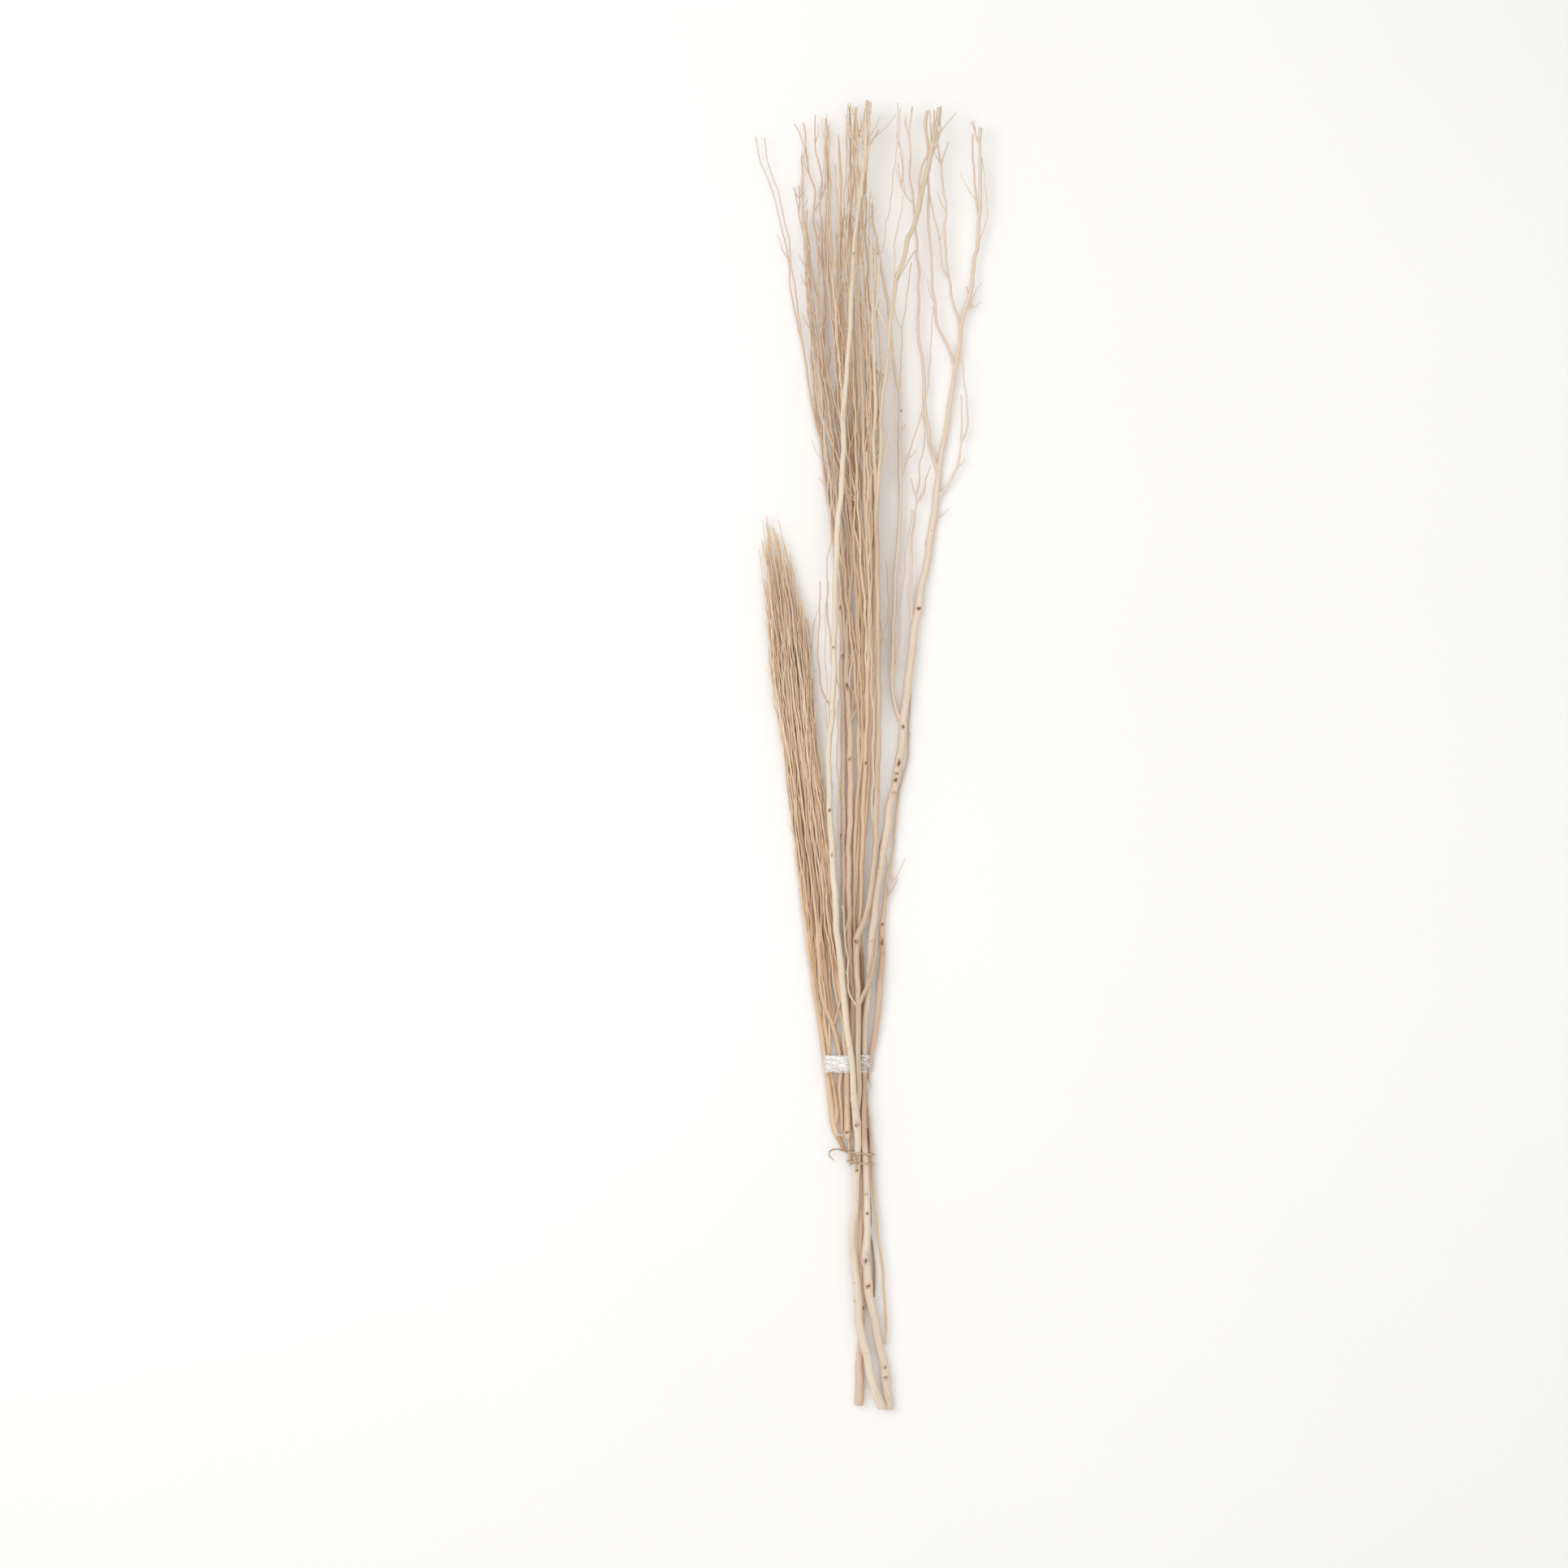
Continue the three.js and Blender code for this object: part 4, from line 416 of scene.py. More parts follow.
def spur_strands(layer, seed, count, grown, radii):
    """Short spurs at their natural angle, in the same layer as the strand that they grow on."""
    draw = stream(seed)
    strands = []
    for _ in range(count):
        points = grown[1 + math.floor(draw() * (len(grown) - 1))]
        place = math.floor((SPUR_FROM + SPUR_STRETCH * draw()) * (len(points) - 1))
        index = min(len(points) - 2, place)
        start, end = points[index], points[index + 1]
        heading = math.atan2(end[0] - start[0], end[1] - start[1])
        side = -1 if draw() < 0.5 else 1
        turn = heading + side * between(SPUR_SPREAD, draw())
        half = between(SPUR_LENGTH, draw()) / 2
        middle = (start[0] + half * math.sin(turn), start[1] + half * math.cos(turn))
        bent = turn - side * SPUR_BEND
        tip = (middle[0] + half * math.sin(bent), middle[1] + half * math.cos(bent), radii[1])
        strands.append((layer, 0, [(start[0], start[1], radii[0]), middle, tip]))
    return strands


def sheaf_spot(along, lane, rise):
    """Where a lane of the sheaf lies at a distance along the bunch: its place across, and its height."""
    left, right = read_table(SHEAF_EDGES, along, 1), read_table(SHEAF_EDGES, along, 2)
    across = (left + right) / 2 + lane * (right - left) / 2
    height = read_table(SHEAF_DEPTH, along, 1) + rise * read_table(SHEAF_DEPTH, along, 2)
    return across, height


def sheaf_twigs(share_of, stem):
    """The fine twigs of the short sheaf: lanes spread evenly over its oval section."""
    low, high = share_of
    twigs = []
    for index in range(SHEAF_TWIGS):
        spread = math.sqrt((index + 0.5) / SHEAF_TWIGS)
        side = spread * math.cos(index * GOLDEN_ANGLE)
        rise = spread * math.sin(index * GOLDEN_ANGLE)
        if side < low - LANE_MARGIN or side > high + LANE_MARGIN:
            continue
        lane = min(high, max(low, side))
        draw = stream(SHEAF_SEED + index)
        start = between(SHEAF_ROOTS, draw() * draw())
        end = between(SHEAF_TIPS, draw())
        root_radius = between(SHEAF_ROOT_RADIUS, draw())
        root = nearest_point([stem], (read_table(SHEAF_EDGES, start, 1) + SHEAF_ROOT_INSET, start))
        steps = whole((end - start) / SHEAF_STEP)
        points = [[root[0], root[1], root[2], root_radius]]
        for step in range(1, steps + 1):
            along = root[1] + (end - root[1]) * step / steps
            across, height = sheaf_spot(along, lane, rise)
            share = smooth(clamp01((along - root[1]) / DIVERGE_LENGTH))
            points.append([
                root[0] + (across - root[0]) * share + SHEAF_STRAY * (draw() - 0.5),
                along,
                root[2] + (height - root[2]) * share,
                root_radius + (TIP_RADIUS - root_radius) * step / steps,
            ])
        twigs.append(np.array(points, float))
    return twigs


# Everything below makes the finer wood that stands for each branch's plain solid.
FINE_SHEAF_SEED = 9000
FINE_SHEAF_TWIGS = 44
FINE_SHEAF_ROOTS = (540, 900)
FINE_SHEAF_TIPS = (925, 1102)
FINE_SHEAF_RADIUS = (0.65, 1.1)
FINE_SHEAF_STEP = 60
FINE_SHEAF_STRAY = 2.0
FINE_SHEAF_SHORTEST = 90
FINE_TIP_RADIUS = 0.35
FINE_TAPER = 1.5
FINE_LANE_MARGIN = 0.1
LANE_LIMIT = 1.08
# How far a fine twig drifts across the sheaf: one in four drifts much further than the others.
DRIFT = 0.9
FAR_DRIFT = 1.9
NEAR_DRIFT = 0.7
# Some twigs end early, by up to this length, and those at the right edge end lower than the others.
EARLY_CHANCE = 0.3
EARLY_LENGTH = 130
RIGHT_LOWER = 75
# Flyaways leave the sheaf near its tip. Those of an outer spray bend out to its own side.
FLYAWAY_SEED = 900
FLYAWAYS = 15
FLYAWAY_FROM = (0.35, 1.0)
FLYAWAY_REACH = (35, 85)
FLYAWAY_OUT = (4, 14)
FLYAWAY_RISE = 2.5
FLYAWAY_BEND = 1.6
FLYAWAY_RADIUS = 0.62
FLYAWAY_TAPER = 0.32
FLYAWAY_SHARES = (0.0, 0.35, 0.7, 1.0)
OUTER_LANE = 0.6
OUTER_CHANCE = 0.7
INNER_SIDE = 0.4


def fine_sheaf_twigs(share_of, seed, grown):
    """Finer twigs that fork off the sheaf's own twigs higher up, cross a little and end unevenly."""
    low, high = share_of
    twigs = []
    for index in range(FINE_SHEAF_TWIGS):
        draw = stream(seed + index)
        lane = between((low - FINE_LANE_MARGIN, high + FINE_LANE_MARGIN), draw())
        rise = 2 * draw() - 1
        drift = DRIFT * (draw() - 0.5) * (FAR_DRIFT if index % 4 == 0 else NEAR_DRIFT)
        start = between(FINE_SHEAF_ROOTS, draw())
        early = EARLY_LENGTH * draw() if draw() < EARLY_CHANCE else 0
        end = between(FINE_SHEAF_TIPS, draw()) - RIGHT_LOWER * max(0, lane + drift) - early
        end = max(start + FINE_SHEAF_SHORTEST, end)
        radius = between(FINE_SHEAF_RADIUS, draw())
        steps = max(3, whole((end - start) / FINE_SHEAF_STEP))
        points = []
        for step in range(steps + 1):
            along = start + (end - start) * step / steps
            here = min(LANE_LIMIT, max(-LANE_LIMIT, lane + drift * step / steps))
            across, height = sheaf_spot(along, here, rise)
            if step == 0:
                root = nearest_point(grown, (across, along))
                points.append([*root[:3], min(radius, root[3])])
                continue
            share = smooth(clamp01((along - start) / DIVERGE_LENGTH))
            points.append([
                root[0] + (across - root[0]) * share + FINE_SHEAF_STRAY * (draw() - 0.5),
                along,
                root[2] + (height - root[2]) * share,
                radius + (FINE_TIP_RADIUS - radius) * (step / steps) ** FINE_TAPER,
            ])
        twigs.append(np.array(points, float))
    return twigs


def add_flyaways(twigs, share_of, seed):
    """Short ends that leave the sheaf's fine twigs, or each other, and bend away."""
    low, high = share_of
    for index in range(FLYAWAYS):
        draw = stream(seed + FLYAWAY_SEED + index)
        goes_left = low < -OUTER_LANE and draw() < OUTER_CHANCE
        side = -1 if goes_left else (1 if high > OUTER_LANE else INNER_SIDE)
        points = twigs[math.floor(draw() * len(twigs))]
        start = math.floor(between(FLYAWAY_FROM, draw()) * (len(points) - 2))
        root, reach, out = points[start], between(FLYAWAY_REACH, draw()), between(FLYAWAY_OUT, draw())
        heading = (points[start + 1][0] - root[0]) / (points[start + 1][1] - root[1])
        twigs.append(np.array([
            (root[0] + heading * reach * share + side * out * share ** FLYAWAY_BEND,
             root[1] + reach * share,
             root[2] + FLYAWAY_RISE * share * draw(),
             FLYAWAY_RADIUS - FLYAWAY_TAPER * share)
            for share in FLYAWAY_SHARES]))


# A strand over 2.2 mm in radius is thick, and one over 1.2 mm is medium.
THICK_FROM = 2.2
MEDIUM_FROM = 1.2
STEM_STEP = 4.0
TWIG_STEP = 6.0
ROOT_FADE = 30
# A strand wanders least where it is tied: the middle, half and fade of that stretch.
CALM_MIDDLE = 372
CALM_HALF = 92
CALM_FADE = 60
# Each wave of the wander as its length and strength beside the first, and its strength by axis.
WANDER_WAVES = ((1.0, 1.0), (0.43, 0.45), (0.19, 0.16))
WANDER_AXES = ((0, 1.0), (2, 0.45))
KINK_SEED = 7
KINK_LENGTH = 21
KINK_REACH = 0.85
KINK_CHANCE = 0.5
KINK_AXES = ((0, 1.0), (2, 0.4))
# A strand's root flares out by this share, over this length, and never past the wood it grows on.
FLARE = 0.55
FLARE_LENGTH = 5
FLARE_LIMIT = 0.95
FLOOR_SHARE = 0.97


class Strand:
    """One smooth strand of wood: its route, how far along it each point lies, and its own shade."""

    def __init__(self, route, seed, shade, cut):
        self.route = route
        steps = np.linalg.norm(np.diff(route[:, :3], axis=0), axis=1)
        self.run = np.concatenate([[0], np.cumsum(steps)])
        self.seed = seed
        self.shade = shade
        self.mark = np.zeros(len(route))
        self.cut = cut


def smooth_route(points, step):
    """A route through the given points that bends smoothly, with a point every step."""
    spans = np.maximum(np.linalg.norm(np.diff(points[:, :3], axis=0), axis=1), 0.01)
    at = np.concatenate([[0], np.cumsum(spans)])
    count = max(3, int(at[-1] / step) + 1)
    wanted = np.linspace(0, at[-1], count)
    slopes = np.empty_like(points[:, :3])
    slopes[1:-1] = (points[2:, :3] - points[:-2, :3]) / (at[2:] - at[:-2])[:, None]
    slopes[0] = (points[1, :3] - points[0, :3]) / spans[0]
    slopes[-1] = (points[-1, :3] - points[-2, :3]) / spans[-1]
    index = np.clip(np.searchsorted(at, wanted, side="right") - 1, 0, len(spans) - 1)
    share = ((wanted - at[index]) / spans[index])[:, None]
    span = spans[index][:, None]
    low, high = points[index, :3], points[index + 1, :3]
    places = (low * (2 * share ** 3 - 3 * share ** 2 + 1)
              + slopes[index] * span * (share ** 3 - 2 * share ** 2 + share)
              + high * (3 * share ** 2 - 2 * share ** 3)
              + slopes[index + 1] * span * (share ** 3 - share ** 2))
    radii = np.interp(wanted, at, points[:, 3])
    return np.column_stack([places, radii]), wanted


def wander(route, at, seed, reach, wave, rooted):
    """Lets a route stray a little from side to side, as wood grows, but not where it is tied."""
    draw = stream(seed)
    calm = np.clip((np.abs(route[:, 1] - CALM_MIDDLE) - CALM_HALF) / CALM_FADE, 0, 1)
    fade = calm * (np.clip(at / ROOT_FADE, 0, 1) if rooted else 1)
    for axis, strength in WANDER_AXES:
        for length, share in WANDER_WAVES:
            phase = 2 * math.pi * draw()
            wave_here = np.sin(2 * math.pi * at / (wave * length) + phase)
            route[:, axis] += reach * strength * share * wave_here * fade
    return route


def kink(route, at, seed):
    """Small bends at uneven steps, where leaves once grew on a thin strand."""
    draw = stream(seed)
    bends = np.arange(0, at[-1] + 2 * KINK_LENGTH, KINK_LENGTH)
    bends[1:] += [KINK_LENGTH * KINK_CHANCE * (draw() - 0.5) for _ in bends[1:]]
    for axis, strength in KINK_AXES:
        offsets = [KINK_REACH * strength * (2 * draw() - 1) for _ in bends]
        route[:, axis] += np.interp(at, bends, offsets) * np.clip(at / ROOT_FADE, 0, 1)
    return route


def refine(coarse, grown, seed, reach, wave):
    """A strand's coarse points become a smooth route that starts on the wood grown so far."""
    thick = coarse[:, 3].max() > THICK_FROM
    route, at = smooth_route(coarse, STEM_STEP if thick else TWIG_STEP)
    route = wander(route, at, seed, reach, wave, bool(grown))
    if not thick:
        route = kink(route, at, seed + KINK_SEED)
    if grown:
        root = nearest_point([strand.route for strand in grown], route[0])
        shift = (root[:3] - route[0, :3]) * (1 - np.clip(at / ROOT_FADE, 0, 1))[:, None] ** 2
        route[:, :3] += shift
        flare = FLARE * np.exp(-at / FLARE_LENGTH) * np.clip(root[3] / route[0, 3] - 1, 0, 1)
        limit = np.maximum(route[:, 3], root[3] * FLARE_LIMIT)
        route[:, 3] = np.minimum(route[:, 3] * (1 + flare), limit)
    route[:, 2] = np.maximum(route[:, 2], route[:, 3] * FLOOR_SHARE)
    return route


# Fine strands that fill out the tall crown, as (seed, (count, lanes, stretch where they start)).
FINE_CROWNS = {
    "left_cut_branch": (21, (3, (0.05, 0.62), (830, 1150))),
    "left_fan_branch": (22, (4, (0.0, 0.4), (900, 1180))),
    "middle_branch": (23, (5, (0.05, 0.85), (790, 1180))),
    "thin_right_branch": (24, (4, (0.3, 1.0), (780, 1180))),
}
FINE_CROWN_RADIUS = (0.7, 1.35)
FINE_CROWN_STRAY = 5.0
FINE_SPURS = {"left_cut_branch": 14, "left_fan_branch": 20, "middle_branch": 16,
              "thin_right_branch": 16, "front_branch": 14, "knotty_branch": 26, "right_side_branch": 5}
FINE_SPUR_SEED = 3100
FINE_SPUR_RADII = (0.6, 0.3)
# No fine spur ends above this place along the bunch.
TALLEST = 1608

# Finer strands that are seen beside the main ones, written like the strands of the branches.
FINE_STRANDS = {
    "front_branch": (
        ("fork", 1.5, [[128, 1468, 1.6], [131, 1500], [136, 1530], [147, 1560], [150, 1598, 1.2]]),
        ("fork", -1.5, [[133, 1492, 1.4], [141, 1515], [146, 1535], [156, 1570], [158.5, 1604, 1]]),
        ("front", 1.5, [[56, 1450, 1.6], [59.5, 1500], [66, 1560], [65, 1604, 1]]),
        ("front", -2, [[58, 1480, 1.5], [63, 1530], [62, 1570], [63.5, 1600, 1]]),
        ("front", 2, [[60, 1500, 1.4], [68.5, 1550], [69.5, 1590], [70, 1607, 1]]),
        ("front", 1, [[51, 498, 1.3], [47, 515], [44.5, 540], [43, 565], [41, 590], [37, 625, 0.9]]),
        ("front", -2, [[26, 668, 1.1], [30.5, 700], [33, 750], [31, 820], [33.5, 870], [30, 905, 0.6]]),
        ("front", 2, [[21, 800, 1], [17, 850], [18.5, 900], [16, 960], [20, 1020, 0.6]]),
        ("front", -2, [[27, 905, 1.2], [21, 960], [19, 1030], [24, 1100], [21, 1160, 0.7]]),
    ),
    "thin_right_branch": (
        ("thin", 2, [[59.5, 1475, 1.5], [57.5, 1520], [53, 1543], [55, 1558], [62.5, 1585],
            [66, 1601, 0.9]]),
        ("thin", 2, [[60, 1555, 1.1], [56, 1573], [54, 1589], [50, 1595], [48, 1608, 0.6]]),
        ("thin", 2, [[71, 1555, 0.8], [76, 1565], [83, 1575, 0.5]]),
        ("thin", -1, [[68, 860, 1.9], [72, 930], [78, 1000], [76, 1100], [79, 1200], [84, 1290, 0.8]]),
    ),
    "knotty_branch": (
        ("knotty", 4.2, [[67, 424, 1.1], [64.5, 409], [62, 395, 0.9]]),
    ),
    "sheaf_left_spray": (
        ("sheafLeft", 1, [[19, 436, 1.9], [17.5, 470], [14.5, 500], [14, 530], [10, 570], [4, 620],
            [-4, 690, 1]]),
        ("sheafLeft", -1, [[21, 436, 1.8], [22.5, 485], [22.5, 540], [19, 590], [12, 660], [4, 740, 1]]),
        ("sheafLeft", 1, [[6, 508, 1.2], [11, 530], [12, 560], [9, 600, 0.8]]),
    ),
    "sheaf_middle_spray": (
        ("sheafMiddle", 1.5, [[27, 476, 1.5], [33, 497], [35, 510], [33, 535], [27, 570], [20, 620],
            [12, 690, 1]]),
    ),
    "sheaf_right_spray": (
        ("sheafRight", 2, [[41, 470, 1.6], [37, 520], [33, 545], [28, 590], [24, 630], [18, 690],
            [8, 760, 1]]),
        ("sheafRight", 1, [[39, 485, 1.6], [32, 520], [24.5, 560], [17, 610], [13, 650], [6, 720],
            [-2, 800, 1]]),
        ("sheafRight", 3, [[43, 440, 1.3], [39, 490], [29.5, 550], [20.5, 600], [15, 660],
            [3, 760, 0.9]]),
    ),
}

# How far the strands wander, in mm, and how long the waves of that wander are.
STEM_WANDER = 0.45
TWIG_WANDER = 0.75
SHEAF_WANDER = 0.8
WOOD_WAVES = (48, 80)
SHEAF_WAVES = (60, 130)
# A strand whose tip is thicker than this ends in a plain cut.
CUT_FROM = 0.9
# Shades run from 0, the palest wood, to about 1, the darkest. A thin strand's is partly chance.
MAIN_SHADE = {"front_branch": 0.1, "knotty_branch": 0.3, "left_cut_branch": 0.35,
              "left_fan_branch": 0.4, "middle_branch": 0.5, "thin_right_branch": 0.4,
              "right_side_branch": 0.3, "thin_low_twig": 0.6, "sheaf_left_spray": 0.35,
              "sheaf_middle_spray": 0.45, "sheaf_right_spray": 0.4}
THIN_SHARE = 0.8
THIN_CHANCE = 0.9
THIN_MIDDLE = 0.42
# The fork and the front branch's thin twigs are dark, and grow paler again over this stretch.
FORK_SHADE = 1.1
FORK_PALER = 0.85
FORK_FADE = (1080, 1360)
# All but the front branch are darker in the neck: how much, and where that starts and fades again.
NECK_SHADE = 0.5
NECK = ((260, 0), (360, 1), (560, 1), (860, 0))
# Where one branch is darker than elsewhere: the middle and half length of that stretch, in mm along,
# and how much darker. On the knotty, middle and thin right branches this is painted shade, where they
# lie behind and between other stems; the front branch's top is a darker tan of its own.
PAINTED_SHADE_AND_DARK_STRETCHES = {"front_branch": (1600, 250, 0.45), "knotty_branch": (372, 42, 0.9),
                  "sheaf_left_spray": (330, 10, 1.1), "left_cut_branch": (330, 40, 0.7),
                  "middle_branch": (500, 90, 0.6), "thin_right_branch": (490, 80, 0.6),
                  "left_fan_branch": (480, 60, 0.3)}
# Scars, cracks and burrs, as [across, along, half length].
MARKS = {
    "front_branch": ((52.8, 356, 6), (54.6, 580, 7), (27.5, 941, 5), (22.5, 688, 4), (24, 742, 4),
                     (57, 300, 4), (98, 1350, 4), (50, 1420, 5)),
    "right_side_branch": ((85, 580, 10), (78, 567, 4), (75.5, 602, 4)),
    "knotty_branch": ((92, 779, 6), (97, 800, 9), (103, 786, 5), (66, 188, 6), (69, 157, 6),
                      (112, 844, 5), (134, 990, 5), (90.3, 58, 4), (91.8, 44, 6), (68, 247, 4)),
    "left_cut_branch": ((45, 894, 9), (46, 805, 5), (62, 129, 5)),
    "left_fan_branch": ((38, 930, 6), (36, 990, 5)),
    "thin_right_branch": ((66, 800, 5), (70, 950, 6)),
    "sheaf_left_spray": ((31, 352, 6), (19, 415, 4)),
    "sheaf_right_spray": ((44, 346, 3),),
}
MARK_FADE = 0.62


def coarse_strands(number, branch):
    """The plain points of every strand of one branch: the solid's own ones first, then finer ones."""
    name = branch["name"]
    layer = branch["strands"][0][0]
    coarse = []
    for strand in branch["strands"]:
        coarse.append(settle_strand(strand, coarse))
    if "crown" in branch:
        for strand in crown_strands(layer, branch["seed"], branch["crown"], coarse[0],
                                    CROWN_ROOT_RADIUS, TIP_RADIUS, CROWN_STRAY):
            coarse.append(settle_strand(strand, [coarse[0]]))
        for strand in spur_strands(layer, branch["seed"] * 1000 + SPUR_SEED, branch["crown"][0],
                                   coarse, SPUR_RADII):
            coarse.append(settle_strand(strand, coarse))
    if "sheaf" in branch:
        coarse += sheaf_twigs(branch["sheaf"], coarse[0])
    for strand in FINE_STRANDS.get(name, ()):
        coarse.append(settle_strand(strand, coarse))
    if name in FINE_CROWNS:
        seed, crown = FINE_CROWNS[name]
        for strand in crown_strands(layer, seed, crown, coarse[0],
                                    FINE_CROWN_RADIUS, FINE_TIP_RADIUS, FINE_CROWN_STRAY):
            coarse.append(settle_strand(strand, coarse))
    if "sheaf" in branch:
        seed = FINE_SHEAF_SEED + 400 * number
        twigs = fine_sheaf_twigs(branch["sheaf"], seed, coarse)
        add_flyaways(twigs, branch["sheaf"], seed)
        coarse += twigs
    if name in FINE_SPURS:
        spur_layer = "crown" if name == "knotty_branch" else layer
        for strand in spur_strands(spur_layer, FINE_SPUR_SEED + number, FINE_SPURS[name], coarse,
                                   FINE_SPUR_RADII):
            if strand[2][-1][1] < TALLEST:
                coarse.append(settle_strand(strand, coarse))
    return coarse


def shade_along(name, is_fork, thickest, route, draw):
    """A strand's shade at each point of its route."""
    is_dark = is_fork or (name == "front_branch" and thickest < THICK_FROM)
    own = FORK_SHADE if is_dark else MAIN_SHADE[name]
    if thickest <= THICK_FROM:
        own = own * THIN_SHARE + THIN_CHANCE * (draw() - THIN_MIDDLE)
    shade = np.full(len(route), own)
    if is_dark:
        start, end = FORK_FADE
        shade -= FORK_PALER * np.clip((route[:, 1] - start) / (end - start), 0, 1)
    if name != "front_branch":
        shade += NECK_SHADE * np.interp(route[:, 1], *zip(*NECK))
    # Darker stretches: painted shade where the knotty, middle and thin right branches lie behind other
    # stems.
    if name in PAINTED_SHADE_AND_DARK_STRETCHES:
        middle, half, amount = PAINTED_SHADE_AND_DARK_STRETCHES[name]
        shade += amount * np.exp(-((route[:, 1] - middle) / half) ** 4)
    return shade


def add_marks(strands, marks):
    """Marks the strand that lies nearest to each scar, crack or burr."""
    for across, along, half in marks:
        gaps = [np.hypot(strand.route[:, 0] - across, strand.route[:, 1] - along).min()
                for strand in strands]
        strand = strands[int(np.argmin(gaps))]
        near = np.exp(-((strand.route[:, 1] - along) / (half * MARK_FADE)) ** 2)
        strand.mark = np.maximum(strand.mark, near)


def grow_branch(number, branch):
    """Every strand of one branch, from its stem to its finest twigs."""
    name, plain = branch["name"], branch["strands"]
    grown = []
    for index, points in enumerate(coarse_strands(number, branch)):
        draw = stream(number * 977 + index * 13 + 5)
        thickest = points[:, 3].max()
        is_fork = index < len(plain) and plain[index][0] == "fork"
        if "sheaf" in branch and index >= len(plain):
            reach, waves = SHEAF_WANDER, SHEAF_WAVES
        else:
            reach, waves = (STEM_WANDER if thickest > THICK_FROM else TWIG_WANDER), WOOD_WAVES
        route = refine(points, grown, number * 500 + index, reach, between(waves, draw()))
        shade = shade_along(name, is_fork, thickest, route, draw)
        cut = route[-1, 3] > CUT_FROM or index == 0
        grown.append(Strand(route, 100 * draw(), shade, cut))
    add_marks(grown[:len(plain)], MARKS.get(name, ()))
    return grown


class Wire:
    """A socket of a node tree, so that sums on it can be written as plain sums."""

    def __init__(self, tree, socket):
        self.tree = tree
        self.socket = socket

    def sum(self, operation, *values):
        return self.tree.node("ShaderNodeMath", {"operation": operation}, dict(enumerate(values)))[0]

    def __add__(self, other):
        return self.sum("ADD", self, other)

    def __radd__(self, other):
        return self.sum("ADD", other, self)

    def __sub__(self, other):
        return self.sum("SUBTRACT", self, other)

    def __rsub__(self, other):
        return self.sum("SUBTRACT", other, self)

    def __mul__(self, other):
        return self.sum("MULTIPLY", self, other)

    def __rmul__(self, other):
        return self.sum("MULTIPLY", other, self)

    def __truediv__(self, other):
        return self.sum("DIVIDE", self, other)

    def __rtruediv__(self, other):
        return self.sum("DIVIDE", other, self)

    def __neg__(self):
        return self.sum("MULTIPLY", self, -1.0)

    def floor(self):
        return self.sum("FLOOR", self)

    def exp(self):
        return self.sum("EXPONENT", self)

    def cosine(self):
        return self.sum("COSINE", self)

    def sine(self):
        return self.sum("SINE", self)

    def size(self):
        return self.sum("ABSOLUTE", self)

    def least(self, other):
        return self.sum("MINIMUM", self, other)

    def most(self, other):
        return self.sum("MAXIMUM", self, other)

    def ramp(self, low, high):
        """0 at low and below, 1 at high and above, smooth in between."""
        values = {"Value": self, "From Min": low, "From Max": high}
        return self.tree.node("ShaderNodeMapRange", {"interpolation_type": "SMOOTHSTEP"}, values)[0]


class Made:
    """A node that was just added: its outputs by name or number, as wires."""

    def __init__(self, tree, node):
        self.tree = tree
        self.made = node

    def __getitem__(self, key):
        return Wire(self.tree, self.made.outputs[key])


class Tree:
    """Adds nodes to a node tree: a node's settings come first, then the values of its sockets."""

    def __init__(self, tree):
        self.nodes = tree.nodes
        self.links = tree.links

    def node(self, kind, settings=None, values=None):
        made = self.nodes.new(kind)
        for key, value in (settings or {}).items():
            setattr(made, key, value)
        for key, value in (values or {}).items():
            if isinstance(value, Wire):
                self.links.new(value.socket, made.inputs[key])
            else:
                made.inputs[key].default_value = value
        return Made(self, made)

    def noise(self, vector, scale, detail=2.0, roughness=0.5, output=0):
        values = {"Vector": vector, "Scale": scale, "Detail": detail, "Roughness": roughness}
        return self.node("ShaderNodeTexNoise", None, values)[output]

    def vector(self, x, y, z):
        return self.node("ShaderNodeCombineXYZ", None, {0: x, 1: y, 2: z})[0]

    def parts(self, vector):
        split = self.node("ShaderNodeSeparateXYZ", None, {0: vector})
        return split[0], split[1], split[2]

    def blend(self, factor, first, second):
        settings = {"data_type": "RGBA"}
        values = {"Factor": factor, 6: first, 7: second}
        return self.node("ShaderNodeMix", settings, values)[2]


def paint(code):
    """A colour written as six hexadecimal digits, in the linear numbers that a shader takes."""
    parts = [int(code[index:index + 2], 16) / 255 for index in (0, 2, 4)]
    return [part / 12.92 if part <= 0.04045 else ((part + 0.055) / 1.055) ** 2.4 for part in parts] + [1.0]


# A geometry tree that turns lines into wood: knots at even steps, shallow flutes, and closed ends.
BUILD_INPUTS = ("Sides", "Knot Spacing", "Knot Width", "Knot Height", "Flute Depth")
KNOT_CHANCE = 0.45
KNOT_ALL_ROUND = 0.1
FLUTE_GRAIN = 24.0
FLUTE_SCALE = 1.1
MARK_SWELL = 0.08
FACES_UP = (0.6, 0.98)
LOWEST = 0.00005


